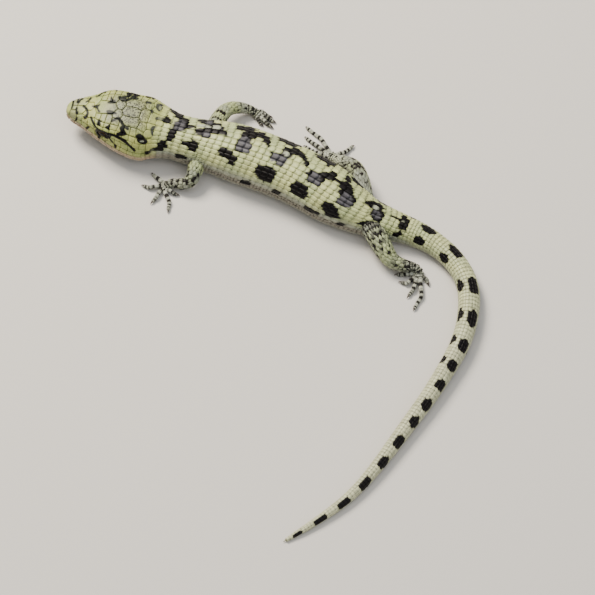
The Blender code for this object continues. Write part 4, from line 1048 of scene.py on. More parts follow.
def scale_material(name, roughness, bump, tiny):
    """Keratin over bone: satin, with a fine grain and dark flecks, coloured by the tint of each scale."""
    made, add = new_material(name)
    tint = add("Attribute", {"attribute_name": "tint"})
    place = add("TexCoord")["Object"]
    grain = add("TexNoise", {"Scale": 1 / (0.45 * MM), "Detail": 4.0}, {"Vector": place})
    cloud = add("TexNoise", {"Scale": 1 / (3.0 * MM), "Detail": 2.0}, {"Vector": place})
    uneven = add("VectorMath", {"operation": "MULTIPLY_ADD", 1: (0.4 * MM,) * 3}, {0: grain["Color"], 2: place})
    spots = add("TexVoronoi", {"Scale": 1 / (0.46 * MM)}, {"Vector": uneven["Vector"]})
    mottle = remap(add, grain["Fac"], (0.3, 0.7), (0.84, 1.14))
    tone = remap(add, cloud["Fac"], (0.3, 0.7), (0.92, 1.08))
    both = product(add, mottle, tone)
    speck = remap(add, spots["Distance"], (0.52, 0.4), (0.0, 0.85))
    flecked = product(add, speck, tint["Alpha"])
    kept = add("Math", {"operation": "SUBTRACT", 0: 1.0}, {1: flecked})["Value"]
    colour = scaled(add, tint["Color"], product(add, both, kept))
    rough = remap(add, grain["Fac"], (0.0, 1.0), (roughness - 0.08, roughness + 0.1))
    fine = add("TexNoise", {"Scale": 1 / (tiny * MM), "Detail": 3.0}, {"Vector": place})
    relief = add("Bump", {"Strength": bump, "Distance": 0.05 * MM}, {"Height": fine["Fac"]})["Normal"]
    light = add("RGBToBW", None, {"Color": tint["Color"]})["Val"]
    gloss = remap(add, light, (0.0, 0.3), (0.14, 0.36))
    links = {"Base Color": colour, "Roughness": rough, "Specular IOR Level": gloss, "Normal": relief}
    shaded(add, {"IOR": 1.5}, links)
    return made


def horn_material():
    """Claw horn: dark and smooth, clouded with brown."""
    made, add = new_material("claw_horn")
    place = add("TexCoord")["Object"]
    cloud = add("TexNoise", {"Scale": 1 / (0.5 * MM)}, {"Vector": place})
    tones = {"A": (*linear("#1B1512"), 1), "B": (*linear("#4A3D33"), 1)}
    colour = add("Mix", {"data_type": "RGBA", **tones}, {"Factor": cloud["Fac"]})["Result"]
    shaded(add, {"IOR": 1.55, "Roughness": 0.3}, {"Base Color": colour})
    return made


def eye_material():
    """A wet eye: a round black pupil in a dark coppery iris, finely clouded, and glossed all over by its tears."""
    made, add = new_material("wet_eye")
    tint = add("Attribute", {"attribute_name": "tint"})
    place = add("TexCoord")["Object"]
    cloud = add("TexNoise", {"Scale": 1 / (0.2 * MM), "Detail": 3.0}, {"Vector": place})
    tone = remap(add, cloud["Fac"], (0.0, 1.0), (0.6, 1.4))
    colour = scaled(add, tint["Color"], tone)
    shaded(add, {"IOR": 1.38, "Roughness": 0.08, "Specular IOR Level": 0.18}, {"Base Color": colour})
    return made


def flesh_nodes():
    return [name for name in frame["nodes"] if not name.startswith("eye")]


def length_setting(name, description, millimetres, **limits):
    return bpy.props.FloatProperty(
        name=name, description=description, default=millimetres * MM, unit="LENGTH", **limits
    )


class LizardSizes(bpy.types.PropertyGroup):
    """Sizes that change how the scales are cut and set."""

    row: length_setting("Scale row", "Length of one row of scales on the back", 1.9, min=1.0 * MM)
    columns: bpy.props.IntProperty(
        name="Scales round", description="Scales in one row round the middle of the trunk", default=34, min=12,
    )
    whorl: length_setting(
        "Tail whorl", "Length of one ring of scales at the root of the tail", 1.1, min=0.8 * MM
    )
    coat: length_setting("Coat depth", "How far the skin lies inside the scales", 0.14)
    voxel: length_setting("Skin grain", "Edge of the cells that the skin is closed with", 0.3)


class LizardColours(bpy.types.PropertyGroup):
    """Colours of what isn't patterned."""

    floor: bpy.props.FloatVectorProperty(
        name="Floor", description="Colour of the studio floor", subtype="COLOR", default=tuple(linear("#CFCBC3")),
    )
    iris: bpy.props.FloatVectorProperty(
        name="Iris", description="Colour of the iris", subtype="COLOR", default=tuple(linear("#38230F")),
    )


def chosen_sizes():
    return bpy.context.scene.lizard_sizes


def limb_roots():
    """Where each leg and its toes have their strip on the unwrap."""
    starts = [0.02 + 0.24 * i for i in range(len(LEGS))]
    return {name: ((u, 0.2), [(u + 0.045 * k, 0.08) for k in range(5)]) for name, u in zip(LEGS, starts)}


def darker(tints, share):
    """The same colours, with their light multiplied by a share and their flecks kept."""
    lit = tints[..., :3] * np.broadcast_to(share, tints.shape[:-1])[..., None]
    return np.concatenate([lit, tints[..., 3:]], -1)


def tinted_mesh(name, sheet, material, tint, shade):
    """A sheet as a closed mesh that has its markings, made darker by shade."""
    rows, columns = sheet["points"].shape[:2]
    along = np.linspace(*sheet["range"], rows)[:, None]
    around = (np.arange(columns) / columns * 2)[None, :]
    return grid_mesh(name, sheet["points"], material, darker(tint(along, around), shade))


class LIZARD_OT_skin(bpy.types.Operator):
    """One skin under all the scales: body, legs and toes closed into one surface and smoothed where they meet"""

    bl_idname = "lizard.skin"
    bl_label = "Skin"

    def execute(self, context):
        material = scale_material("skin_between_scales", 0.62, 0.25, 0.3)
        body = body_sheet(chosen_sizes().coat / MM)
        along = np.linspace(*body["range"], len(body["points"]))[:, None]
        shade = np.where(along < HEAD_SKIN_END, 0.7, 0.5)
        sources = [tinted_mesh("skin_body", body, material, whole_tint, shade)]
        for i, name in enumerate(LEGS):
            leg = leg_sheet(name, (0, 0), 0.12)
            sources.append(tinted_mesh("skin_" + name, leg, material, limb_tint(name), 0.6))
            for k, points in enumerate(TOES[name]):
                toe = toe_sheet(points, (0, 0), 0.06)
                sources.append(tinted_mesh(f"skin_{name}_{k}", toe, material, toe_tint(k + i), 0.7))
        source = join_objects(sources, "skin_source")
        skin = source.copy()
        skin.data = source.data.copy()
        skin.name = "skin"
        context.scene.collection.objects.link(skin)
        closing = skin.modifiers.new("closed", "REMESH")
        closing.mode = "VOXEL"
        closing.voxel_size = chosen_sizes().voxel
        smooth = skin.modifiers.new("smooth", "SMOOTH")
        smooth.iterations = 3
        made_real(skin)
        skin.data.color_attributes.new("tint", "FLOAT_COLOR", "POINT")
        colour = skin.modifiers.new("tint", "DATA_TRANSFER")
        colour.object = source
        colour.use_vert_data = True
        colour.data_types_verts = {"COLOR_VERTEX"}
        colour.vert_mapping = "POLYINTERP_NEAREST"
        made_real(skin)
        bpy.data.objects.remove(source)
        points = np.empty(len(skin.data.vertices) * 3, np.float32)
        skin.data.vertices.foreach_get("co", points)
        points = points.reshape(-1, 3)
        points[:, 2] = np.maximum(points[:, 2], 0.0)
        skin.data.vertices.foreach_set("co", points.ravel())
        skin.data.shade_smooth()
        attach(skin, "root")
        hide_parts(*flesh_nodes())
        return {"FINISHED"}


def row_edges(start, end, length):
    """Where rows of scales begin, each as long as length says at its place."""
    edges = [start]
    while edges[-1] < end:
        edges.append(edges[-1] + length(edges[-1]))
    return np.array(edges[:-1])


def even_count(value):
    return 2 * max(3, int(round(value / 2)))


class LIZARD_OT_trunk_scales(bpy.types.Operator):
    """Rows of squarish scales round the neck, trunk and tail, with small ones in the fold along each flank"""

    bl_idname = "lizard.trunk_scales"
    bl_label = "Trunk and tail scales"

    def execute(self, context):
        draw = np.random.default_rng(SEED)
        sheet = body_sheet()
        chosen = chosen_sizes()
        row, whorl = chosen.row / MM, chosen.whorl / MM
        material = scale_material("body_scales", 0.42, 0.25, 0.25)
        groups = {"trunk_scales": [], "tail_scales": []}
        small = []

        def length(at):
            if at < SNOUT_VENT:
                return row * (0.74 + 0.26 * min(max((at - 24) / 10, 0.0), 1.0))
            to_whorls = min((at - SNOUT_VENT) / 10, 1.0)
            return (row * (1 - to_whorls) + whorl * to_whorls) - (whorl - 0.85) * (at - SNOUT_VENT) / TAIL

        for at in row_edges(FIRST_ROW, WHOLE - 1.2, length):
            deep = length(at)
            around = 2 * half_girth(at + 0.5 * deep)
            count = chosen.columns if at < 80 else even_count(max(around / (1.2 if at < 95 else 0.95), 8))
            share = 2 * (np.arange(count) + 0.5) / count - 1
            half = 1.0 / count
            centre = at + 0.5 * deep
            off = np.abs(share)
            folded = (off > FOLD_AROUND[0]) & (off < FOLD_AROUND[1]) & (FOLD_ALONG[0] < at < FOLD_ALONG[1])
            clear = from_legs(at_sheet(sheet, slanted(centre, share), share)[0])
            by_leg = ~folded & (clear < LEG_CLEARANCE) & (off > 0.26)
            large = ~folded & ~by_leg
            for place, gap in zip(share[by_leg], clear[by_leg]):
                if gap > -0.4:
                    small += [
                        (at + deep * step, place + over * half, 0.28 * deep, 0.52 * half)
                        for over in (-0.5, 0.5) for step in (0.25, 0.75)
                    ]
            jitter = draw.normal(0, 1, (count, 3))
            under = off > FOLD_AROUND[1]
            slim = np.clip(around / 24, 0.45, 1)
            lift = (np.where(under, 0.06, 0.17) + 0.012 * jitter[:, 0]) * slim
            dome = np.where(under, 0.02, 0.03) * slim
            keel = np.where(off < 0.4, 0.03, 0.01) * slim
            batch = plates(
                sheet, centre + 0.04 * jitter[large, 1], share[large] + 0.03 * half * jitter[large, 2],
                0.67 * deep * (1 + 0.02 * jitter[large, 0]), 1.05 * half, whole_tint,
                lift[large], dome[large], keel[large], draw=draw,
            )
            groups["trunk_scales" if at < 90 else "tail_scales"].append(batch)
            if folded.any():
                low = np.sort(off[folded])
                lanes = np.linspace(low[0] - half * 0.7, low[-1] + half * 0.7, 5)
                half_lane = 0.9 * (lanes[1] - lanes[0]) / 2
                small += [
                    (at + deep * step, side * lane, 0.28 * deep, half_lane)
                    for side in (-1, 1) for lane in lanes for step in (0.25, 0.75)
                ]
        small = np.array(small)
        small[:, :2] += draw.normal(0, 1, (len(small), 2)) * (0.08, 0.003)
        granules = plates(sheet, *small.T, whole_tint, 0.06, 0.12, 0.0, count=4, patch=0.0011)
        groups["trunk_scales"].append(granules)
        for name, batches in groups.items():
            made = joined(name, batches, material)
            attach(made, "root")
        return {"FINISHED"}


def shield_faces(around, rings):
    """Faces of a shield: rings of points from its rim inwards, closed by a fan, with a skirt and a floor."""
    turn = [(j, (j + 1) % around) for j in range(around)]
    top = [
        (i * around + j, i * around + k, (i + 1) * around + k, (i + 1) * around + j)
        for i in range(rings - 1) for j, k in turn
    ]
    centre = rings * around
    top += [(centre - around + j, centre - around + k, centre) for j, k in turn]
    return skirted(top, list(reversed(range(around))), centre + 1)


def softened(outline, around, rounds):
    """A closed outline read at even steps, with its corners rounded by averaging each point with its neighbours."""
    closed = np.vstack([outline, outline[:1]])
    far = distances(closed)
    at = np.linspace(0, far[-1], around, endpoint=False)
    points = np.stack([np.interp(at, far, closed[:, i]) for i in range(2)], -1)
    for _ in range(rounds):
        points = 0.5 * points + 0.25 * (np.roll(points, 1, axis=0) + np.roll(points, -1, axis=0))
    return points, far[-1]


def shield_plate(sheet, corners, height, dome=0.05, gap=0.045, spacing=0.15):
    """One shield of the head: a rounded plate inside an outline of places on the skull, domed a little."""
    corners = np.array(corners, float)
    scale = half_girth(corners[:, 0].mean())
    outline = corners * (1.0, scale)
    following = np.roll(outline, -1, axis=0)
    if np.sum(outline[:, 0] * following[:, 1] - outline[:, 1] * following[:, 0]) < 0:
        outline = outline[::-1]
    _, perimeter = softened(outline, 8, 0)
    around = int(np.clip(perimeter / spacing, 20, 84))
    points, _ = softened(outline, around, 3)
    ahead = np.roll(points, -1, axis=0) - np.roll(points, 1, axis=0)
    points = points + gap * unit(np.stack([-ahead[:, 1], ahead[:, 0]], -1))
    middle = points.mean(axis=0)
    inner = max(3, int(perimeter / 6.3 / spacing))
    share = np.concatenate([[1.0, 0.94], np.linspace(0.86, 0.86 / inner, inner)])
    flat = middle + share[:, None, None] * (points - middle)
    flat = np.concatenate([flat.reshape(-1, 2), middle[None]])
    share = np.concatenate([np.repeat(share, around), [0.0]])
    a, b = flat[:, 0], flat[:, 1] / scale
    surface, normals = at_sheet(sheet, a, b)
    bevel = ramp(share, 0.84, 0.16) ** 2
    rise = height + dome * (1 - share ** 2) - 0.07 * bevel
    top = surface + (rise * MM)[:, None] * normals
    rim = np.arange(around)[::-1]
    skirt = surface[rim] - 0.2 * MM * normals[rim]
    every = np.concatenate([top, skirt])[None]
    every[..., 2] = np.maximum(every[..., 2], FLOOR_GAP)
    a, b = np.concatenate([a, a[rim]]), np.concatenate([b, b[rim]])
    shade = np.concatenate([1 - 0.12 * bevel, np.full(around, 0.65)])
    turns = np.arange(8) / 8 * 2 * math.pi
    steps = [(0.0, 0.0), *zip(0.14 * np.cos(turns), 0.14 * np.sin(turns) / scale)]
    seen = np.stack([whole_tint(a + along, b + over) for along, over in steps])
    order = np.argsort(seen[..., :3].sum(-1), axis=0, kind="stable")[:5]
    colours = np.take_along_axis(seen, order[..., None], axis=0).mean(axis=0)
    colours = darker(colours, shade)[None]
    corners, sizes = shield_faces(around, len(share) // around)
    return every, colours, unwrap_place(sheet, a, b)[None], corners, sizes, sheet["flip"]


def mirrored(corners):
    return [(at, -around) for at, around in corners]


# Shields of the head, as outlines of (distance from the snout, share of the way round). These are on the midline
MIDDLE_PLATES = {
    "rostral": ((0.5, -0.44), (1.7, -0.3), (1.75, 0.0), (1.7, 0.3), (0.5, 0.44), (0.25, 0.0)),
    "frontonasal": ((5.4, 0.0), (6.0, -0.075), (7.4, -0.07), (8.0, 0.0), (7.4, 0.07), (6.0, 0.075)),
    "frontal": ((8.0, 0.0), (9.0, -0.085), (13.2, -0.06), (14.2, 0.0), (13.2, 0.06), (9.0, 0.085)),
    "interparietal": (
        (15.4, 0.0), (16.0, -0.05), (19.0, -0.055), (20.2, -0.03), (20.2, 0.03), (19.0, 0.055), (16.0, 0.05),
    ),
    "occipital": ((20.2, -0.03), (20.2, 0.03), (21.0, 0.07), (22.6, 0.06), (22.6, -0.06), (21.0, -0.07)),
    "nuchal": ((22.6, -0.06), (22.6, 0.06), (24.7, 0.055), (24.7, -0.055)),
}
# These are on both sides
SIDE_PLATES = {
    "front_internasal": ((1.75, 0.0), (1.73, 0.16), (3.0, 0.13), (3.3, 0.0)),
    "nasal": ((1.73, 0.16), (1.7, 0.3), (2.4, 0.44), (3.8, 0.4), (3.9, 0.22), (3.0, 0.13)),
    "rear_internasal": ((3.3, 0.0), (3.0, 0.13), (3.9, 0.22), (5.2, 0.17), (6.0, 0.075), (5.4, 0.0)),
    "supranasal": ((3.9, 0.22), (3.8, 0.4), (5.4, 0.36), (5.6, 0.26), (5.2, 0.17)),
    "prefrontal": ((6.0, 0.075), (7.4, 0.07), (8.0, 0.0), (9.0, 0.085), (9.0, 0.15), (7.2, 0.185), (5.2, 0.17)),
    "front_canthal": ((5.2, 0.17), (7.2, 0.185), (7.3, 0.27), (5.6, 0.26)),
    "rear_canthal": ((7.2, 0.185), (9.0, 0.15), (9.4, 0.21), (9.4, 0.27), (7.3, 0.27)),
    "supraocular_3": ((12.0, 0.068), (13.2, 0.06), (13.6, 0.1), (13.6, 0.17), (12.0, 0.17)),
    "supraocular_4": ((13.6, 0.1), (15.6, 0.1), (15.8, 0.17), (13.6, 0.17)),
    "supraocular_5": ((15.6, 0.1), (17.4, 0.15), (17.2, 0.225), (15.4, 0.225), (15.8, 0.17)),
    "frontoparietal": ((13.2, 0.06), (14.2, 0.0), (15.4, 0.0), (16.0, 0.05), (15.6, 0.1), (13.6, 0.1)),
    "parietal": ((16.0, 0.05), (19.0, 0.055), (20.2, 0.03), (20.8, 0.1), (20.4, 0.14), (17.4, 0.15), (15.6, 0.1)),
    "postparietal": ((20.8, 0.1), (21.0, 0.07), (22.6, 0.06), (22.9, 0.13), (22.4, 0.16), (20.4, 0.14)),
    "inner_occipital": ((20.2, 0.03), (21.0, 0.07), (20.8, 0.1)),
    "inner_nuchal": ((22.6, 0.06), (22.9, 0.13), (24.9, 0.12), (24.7, 0.055)),
    "outer_nuchal": ((22.9, 0.13), (24.9, 0.12), (24.8, 0.2), (22.5, 0.22), (22.4, 0.16)),
    "postocular_1": ((13.8, 0.285), (15.2, 0.285), (15.4, 0.36), (13.7, 0.36)),
    "postocular_2": ((13.7, 0.36), (15.4, 0.36), (15.4, 0.43), (13.4, 0.43)),
    "postocular_3": ((13.4, 0.43), (15.4, 0.43), (15.3, 0.49), (12.8, 0.49)),
}


# Bands of shields on both sides: the upper edge of each band and its lower edge, from place to place along the head
SIDE_BANDS = {
    "supraoculars": (((9.0, 0.085), (10.5, 0.078), (12.0, 0.068)), ((9.0, 0.15), (10.5, 0.165), (12.0, 0.17))),
    "outer_supraoculars": (
        ((9.0, 0.15), (10.5, 0.165), (12.0, 0.17), (13.6, 0.17), (15.8, 0.17)),
        ((9.4, 0.21), (10.5, 0.22), (12.0, 0.225), (13.6, 0.225), (15.4, 0.225)),
    ),
    "superciliaries": (
        ((9.4, 0.21), (10.5, 0.22), (12.0, 0.225), (13.6, 0.225), (15.4, 0.225)),
        ((9.4, 0.275), (10.8, 0.275), (12.2, 0.275), (13.8, 0.285), (15.2, 0.285)),
    ),
    "loreals": (((5.6, 0.26), (7.3, 0.27), (9.4, 0.27)), ((5.4, 0.36), (7.2, 0.37), (9.4, 0.38))),
    "low_loreals": (
        ((2.4, 0.44), (3.8, 0.4), (5.4, 0.36), (7.2, 0.37), (9.4, 0.38)),
        ((2.2, 0.49), (3.7, 0.49), (5.5, 0.49), (7.4, 0.49), (9.7, 0.49)),
    ),
    "upper_temporals": (
        ((17.4, 0.15), (19.0, 0.146), (20.4, 0.14), (22.4, 0.16)),
        ((17.2, 0.225), (19.0, 0.22), (20.8, 0.215), (22.5, 0.22)),
    ),
}
# The temporal bands below them have straight edges, at these shares of the way round, cut at these distances
TEMPLE_BANDS = (
    (0.225, 0.285, (15.3, 17.2, 19.0, 20.8, 22.6, 24.8)),
    (0.285, 0.36, (15.2, 16.9, 18.5, 20.2, 22.0, 23.6, 25.2)),
    (0.36, 0.43, (15.4, 17.2, 19.1, 21.0, 22.9)),
    (0.43, 0.49, (15.3, 17.0, 18.8, 20.6, 22.6)),
)


def band_plates():
    """The shields of every band: each lies between two neighbouring places of its edges."""
    bands = list(SIDE_BANDS.values())
    bands += [([(at, upper) for at in cuts], [(at, lower) for at in cuts]) for upper, lower, cuts in TEMPLE_BANDS]
    for upper, lower in bands:
        for i in range(len(upper) - 1):
            yield upper[i], upper[i + 1], lower[i + 1], lower[i]


def lip_plates():
    """Upper and lower labials along the mouth, and the paired shields under the chin."""
    for upper, lower, count in ((0.495, 0.614, 11), (0.63, 0.735, 9)):
        edges = 1.7 + 21.3 * np.linspace(0, 1, count + 1) ** 1.1
        for front, back in zip(edges[:-1], edges[1:]):
            yield (front, upper), (front + 0.15, lower), (back + 0.15, lower), (back, upper)
    for i in range(4):
        front = 1.6 + 2.5 * i
        yield (front, 0.745), (front + 0.5, 0.87), (front + 2.9, 0.87), (front + 2.4, 0.745)
        yield (front + 0.5, 0.87), (front + 0.7, 0.995), (front + 3.1, 0.995), (front + 2.9, 0.87)


def ocular_plates():
    """A ring of small scales round each eye, whose outer ends lie under the shields beyond them."""
    at, around = 11.5, 0.365
    across = half_girth(at)
    edges = np.linspace(0, 2 * math.pi, 15)
    for start, end in zip(edges[:-1], edges[1:]):
        yield [(at + reach * math.cos(turn), around + reach * math.sin(turn) / across)
               for reach, turn in ((1.3, start), (2.4, start), (2.4, end), (1.3, end))]


class LIZARD_OT_head_shields(bpy.types.Operator):
    """Shields of the crown, brows, cheeks, lips and chin, and small scales of the throat and behind the jaws"""

    bl_idname = "lizard.head_shields"
    bl_label = "Head shields"

    def execute(self, context):
        sheet = body_sheet()
        draw = np.random.default_rng(SEED + 2)
        material = scale_material("head_shields", 0.42, 0.25, 0.3)
        batches = [shield_plate(sheet, corners, 0.1) for corners in MIDDLE_PLATES.values()]

        def both_sides(outlines, height, **shape):
            for corners in outlines:
                for side in (corners, mirrored(corners)):
                    batches.append(shield_plate(sheet, side, height, **shape))

        both_sides([*SIDE_PLATES.values(), *band_plates()], 0.1)
        both_sides(ocular_plates(), 0.03, dome=0.04)
        both_sides(lip_plates(), 0.1, spacing=0.26)
        batches.append(shield_plate(sheet, ((0.3, 0.67), (0.3, 1.33), (1.5, 1.33), (1.5, 0.67)), 0.1))
        for at in np.arange(12.2, 24.6, 1.2):
            count = even_count(0.52 * half_girth(at) / 1.2)
            share = 0.745 + 0.51 * (np.arange(count) + 0.5) / count
            batches.append(plates(sheet, at, share, 0.68, 0.27 / count, whole_tint, 0.06, 0.05, 0.0, draw=draw))
        behind_jaws = [(at, np.arange(0.5, 0.745, 0.055), 0.5, 0.03) for at in np.arange(23.2, 25.4, 0.95)]
        round_ear = [(23.0, 0.385), (23.0, 0.47), (25.3, 0.385), (25.3, 0.45), (24.2, 0.37)]
        for at, share, half_a, half_b in behind_jaws + [(*place, 0.55, 0.032) for place in round_ear]:
            for side in (1, -1):
                batches.append(
                    plates(sheet, at, side * share, half_a, half_b, whole_tint, 0.08, 0.05, 0.0, draw=draw)
                )
        made = joined("head_shields", batches, material)
        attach(made, "root")
        return {"FINISHED"}


class LIZARD_OT_leg_scales(bpy.types.Operator):
    """Small overlapping scales on the legs, hands and feet, and rings of narrow ones round each toe"""

    bl_idname = "lizard.leg_scales"
    bl_label = "Leg and toe scales"

    def execute(self, context):
        material = scale_material("leg_scales", 0.5, 0.45, 0.2)
        draw = np.random.default_rng(SEED + 1)
        roots = limb_roots()
        body = body_sheet()
        for i, name in enumerate(LEGS):
            leg_root, toe_roots = roots[name]
            sheet = leg_sheet(name, leg_root)
            run = leg_run(name)
            far = distances(run[:, :3])
            sheet["reach"], sheet["girth"] = far[-1], 6.0
            shares = np.linspace(0, 1, len(run))

            def length(at):
                return 1.05 if 0.14 < np.interp(at, far, shares) < 0.5 else 0.75

            batches = []
            for at in row_edges(0.0, far[-1] - 0.2, length):
                share = np.interp(at, far, shares)
                deep = length(at)
                around = math.pi * (np.interp(at, far, run[:, 3]) + np.interp(at, far, run[:, 4]))
                count = even_count(around / (deep - 0.03))
                b = 2 * (np.arange(count) + 0.5 * (len(batches) % 2)) / count - 1
                if share < 0.4:
                    b = b[from_body(body, at_sheet(sheet, share, b)[0]) > -0.35]
                jitter = draw.normal(0, 1, (len(b), 2))
                per_share = deep / far[-1]
                batches.append(plates(
                    sheet, share + 0.06 * per_share * jitter[:, 0], b + 0.05 / count * jitter[:, 1],
                    0.62 * per_share, 0.98 / count, limb_tint(name), 0.11, 0.06, 0.02, sink=0.12,
                    count=4, patch=0.0012, pull=0.3,
                ))
            for k, points in enumerate(TOES[name]):
                toe = toe_sheet(points, toe_roots[k])
                path, radius, _, _ = toe_path(points)
                span = np.linalg.norm(np.diff(path, axis=0), axis=1).sum()
                toe["reach"], toe["girth"] = span, 1.6
                steps = max(5, int(span / 0.55))
                b = np.array([-1.0, -0.62, -0.3, 0.0, 0.3, 0.62])
                half = np.array([0.2, 0.17, 0.16, 0.17, 0.16, 0.17])
                for step in range(steps):
                    batches.append(plates(
                        toe, (step + 0.5) / steps, b, 0.6 / steps, half, toe_tint(k + i), 0.06, 0.03, 0.0,
                        sink=0.08, count=4, patch=0.001,
                    ))
            made = joined(name + "_scales", batches, material)
            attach(made, "root")
        return {"FINISHED"}


class LIZARD_OT_claws(bpy.types.Operator):
    """Curved horn claws at the tips of the toes: a cone whose middle line arches over and down to the floor"""

    bl_idname = "lizard.claws"
    bl_label = "Claws"

    def execute(self, context):
        material = horn_material()
        grids = []
        for name in LEGS:
            for points in TOES[name]:
                _, _, root, tip = toe_path(points)
                share = np.linspace(0, 1, 9)
                start = np.array([*root, TOE_RADIUS + 0.05])
                end = np.array([*tip, 0.1])
                path = start + (end - start) * share[:, None]
                path[:, 2] += 0.3 * np.sin(math.pi * share)
                radius = 0.34 * (1 - share) ** 0.75 + 0.03
                grids.append(limb_sheet(path, radius * 0.8, radius, (0, 0), columns=10)["points"])
        made = join_objects([grid_mesh(f"claw_{i}", grid, material) for i, grid in enumerate(grids)], "claws")
        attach(made, "root")
        return {"FINISHED"}


def on_head(at, out, up):
    """A point in plan millimetres from its distance behind the snout, its distance to the left and its height."""
    place, left = backbone(np.array([12.9]))
    heading = np.array([-left[0, 1], left[0, 0]])
    return np.array([*(place[0] + (at - 12.9) * heading + out * left[0]), up])


def eye_frame(side):
    """Centre of an eye, and the directions out of it, along the head and upwards."""
    at, out, up = EYE_PLACE
    centre = on_head(at, side * out, up)
    outwards = unit(centre - on_head(at, 0, up - 0.55))
    along = on_head(1, 0, 0) - on_head(0, 0, 0)
    above = np.cross(along, outwards)
    above *= np.sign(above[2])
    return centre, outwards, along, above


def cap_grid(side, angles, radii, columns):
    """Rings about an eye's axis: each has its angle from the axis and its radius from the eye's centre."""
    centre, outwards, along, above = eye_frame(side)
    turn = np.arange(columns) / columns * 2 * math.pi
    angle, radius = np.broadcast_arrays(np.asarray(angles, float), np.asarray(radii, float))
    ring = np.cos(angle)[..., None] * outwards
    ring = ring + (np.sin(angle) * np.cos(turn))[..., None] * along
    ring = ring + (np.sin(angle) * np.sin(turn))[..., None] * above
    return to_part(centre + radius[..., None] * ring)


class LIZARD_OT_eyes(bpy.types.Operator):
    """Eyeballs with pupil and iris, and scaly lids round them"""

    bl_idname = "lizard.eyes"
    bl_label = "Eyes and lids"

    def execute(self, context):
        wet = eye_material()
        lid = scale_material("eyelids", 0.5, 0.6, 0.25)
        iris = np.array(context.scene.lizard_colours.iris)
        columns = 48
        for label, side in (("left", 1), ("right", -1)):
            polar = np.radians(np.concatenate([np.linspace(1.5, 60, 30), np.linspace(66, 178, 18)]))
            grid = cap_grid(side, np.repeat(polar[:, None], columns, 1), EYE_RADIUS, columns)
            degrees = np.degrees(polar)
            ring = ramp(degrees, 17, 2.0) * np.clip((44 - degrees) / 4, 0, 1)
            tints = BLACK * 0.4 + ring[:, None] * iris * (0.6 + 0.8 * np.exp(-((degrees - 20) / 5) ** 2))[:, None]
            tints = with_flecks(np.repeat(tints[:, None], columns, 1), 0.0)
            eye = grid_mesh("eyeball_" + label, grid, wet, tints)
            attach(eye, "root")
            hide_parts("eye_" + label)
            turn = np.arange(columns) / columns * 2 * math.pi
            wide, high = np.radians(LID_OPENING)
            opening = 1 / np.sqrt((np.cos(turn) / wide) ** 2 + (np.sin(turn) / high) ** 2)
            profile = [(0.06, 1.0), (0.06, 0.4), (0.05, 0.0), (0.2, -0.02), (0.36, 0.03), (0.42, 0.1)]
            profile += [(0.44, 0.2), (0.42, 0.3), (0.47, 0.4), (0.43, 0.5), (0.48, 0.6), (0.44, 0.7), (0.4, 1.0)]
            profile = np.array(profile)
            angles = opening[None] + profile[:, 1:] * (math.radians(84) - opening[None])
            radii = np.repeat((EYE_RADIUS + profile[:, 0])[:, None], columns, 1)
            radii = radii + 0.22 * np.clip(np.cos(turn), 0, 1)[None] * (profile[:, 1:] > 0.05)
            ripple = 0.03 * np.sin(12 * turn)[None] * (profile[:, 1:] > 0.05)
            grid = cap_grid(side, angles, radii + ripple, columns)
            shades = np.array([0.2, 0.2, 0.25, 0.5, 0.8, 0.9, 1.0, 0.8, 1.0, 0.8, 1.0, 0.8, 1.0])
            pale = (0.1 * PALE_GREY + 0.5 * BLACK)[None, None] * shades[:, None, None]
            brow = np.clip(np.sin(turn), 0, 1)[None, :, None] * (profile[:, 1:] > 0.3)[..., None]
            tints = pale * (1 - brow) + PALE_GREEN * brow * shades[:, None, None]
            made = grid_mesh("lids_" + label, grid, lid, with_flecks(tints, 0.2))
            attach(made, "root")
        return {"FINISHED"}


def aim_at(held, point):
    """Turns an object so that its -Z axis points at a place, with its top up."""
    away = Vector(point) - held.location
    held.rotation_euler = away.to_track_quat("-Z", "Y").to_euler()


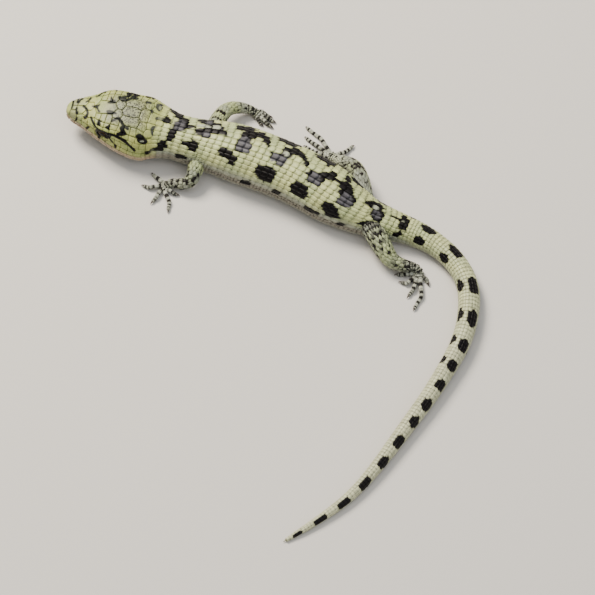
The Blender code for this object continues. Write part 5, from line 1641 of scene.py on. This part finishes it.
class LIZARD_OT_stage(bpy.types.Operator):
    """A plain pale floor, soft studio light, and the camera, which looks down at sixty degrees from in front"""

    bl_idname = "lizard.stage"
    bl_label = "Floor, light and camera"

    def execute(self, context):
        scene = context.scene
        made, add = new_material("studio_floor")
        place = add("TexCoord")["Object"]
        grain = add("TexNoise", {"Scale": 400.0}, {"Vector": place})
        rough = remap(add, grain["Fac"], (0.0, 1.0), (0.8, 0.95))
        shaded(add, {"Base Color": (*scene.lizard_colours.floor, 1.0)}, {"Roughness": rough})
        bpy.ops.mesh.primitive_plane_add(size=4.0, location=(0, 0, -FLOOR_GAP))
        floor = context.object
        floor.name = "studio_floor"
        floor.data.materials.append(made)
        lamps = (
            ("key_light", (-0.30, 0.40, 0.60), 0.30, 12.0, "#FFF6E8"),
            ("fill_light", (0.45, -0.45, 0.55), 0.8, 2.4, "#F2F6FF"),
            ("top_light", (0.0, 0.05, 0.9), 0.9, 3.2, "#FFFFFF"),
        )
        for name, where, size, power, colour in lamps:
            lamp = bpy.data.lights.new(name, "AREA")
            lamp.size = size
            lamp.energy = power
            lamp.color = linear(colour)
            held = bpy.data.objects.new(name, lamp)
            held.location = where
            scene.collection.objects.link(held)
            aim_at(held, (0, 0, 0))
        world = bpy.data.worlds.new("studio")
        world.use_nodes = True
        back = world.node_tree.nodes["Background"]
        back.inputs["Color"].default_value = (*linear("#E9ECEF"), 1.0)
        back.inputs["Strength"].default_value = 0.35
        scene.world = world
        lens = bpy.data.cameras.new("camera")
        lens.sensor_width = 36.0
        lens.lens = 36.0 * CAMERA_DISTANCE / (FRAME_PIXELS * PIXEL_SIZE)
        lens.clip_start = 0.05
        camera = bpy.data.objects.new("camera", lens)
        aim = np.array([-PLAN_MIDDLE[0], -PLAN_MIDDLE[1], 0.0]) * MM
        rise = math.radians(CAMERA_RISE)
        camera.location = aim + CAMERA_DISTANCE * MM * np.array([0, -math.cos(rise), math.sin(rise)])
        scene.collection.objects.link(camera)
        aim_at(camera, aim)
        scene.camera = camera
        return {"FINISHED"}


OPERATORS = (
    LIZARD_OT_skin, LIZARD_OT_trunk_scales, LIZARD_OT_head_shields, LIZARD_OT_leg_scales, LIZARD_OT_claws,
    LIZARD_OT_eyes, LIZARD_OT_stage,
)


class LIZARD_PT_panel(bpy.types.Panel):
    """Buttons that build each group of pieces, and the sizes and colours that they read"""

    bl_idname = "LIZARD_PT_panel"
    bl_label = "Alligator lizard"
    bl_space_type = "VIEW_3D"
    bl_region_type = "UI"
    bl_category = "Lizard"

    def draw(self, context):
        for group in (context.scene.lizard_sizes, context.scene.lizard_colours):
            for name in group.__annotations__:
                self.layout.prop(group, name)
        for kind in OPERATORS:
            self.layout.operator(kind.bl_idname)


def register():
    for kind in (LizardSizes, LizardColours, *OPERATORS, LIZARD_PT_panel):
        bpy.utils.register_class(kind)
    bpy.types.Scene.lizard_sizes = bpy.props.PointerProperty(type=LizardSizes)
    bpy.types.Scene.lizard_colours = bpy.props.PointerProperty(type=LizardColours)


def unregister():
    del bpy.types.Scene.lizard_sizes
    del bpy.types.Scene.lizard_colours
    for kind in (LIZARD_PT_panel, *reversed(OPERATORS), LizardColours, LizardSizes):
        bpy.utils.unregister_class(kind)


def main():
    register()
    bpy.ops.lizard.stage()
    bpy.ops.lizard.skin()
    bpy.ops.lizard.trunk_scales()
    bpy.ops.lizard.head_shields()
    bpy.ops.lizard.leg_scales()
    bpy.ops.lizard.claws()
    bpy.ops.lizard.eyes()


if __name__ == "__main__":
    main()
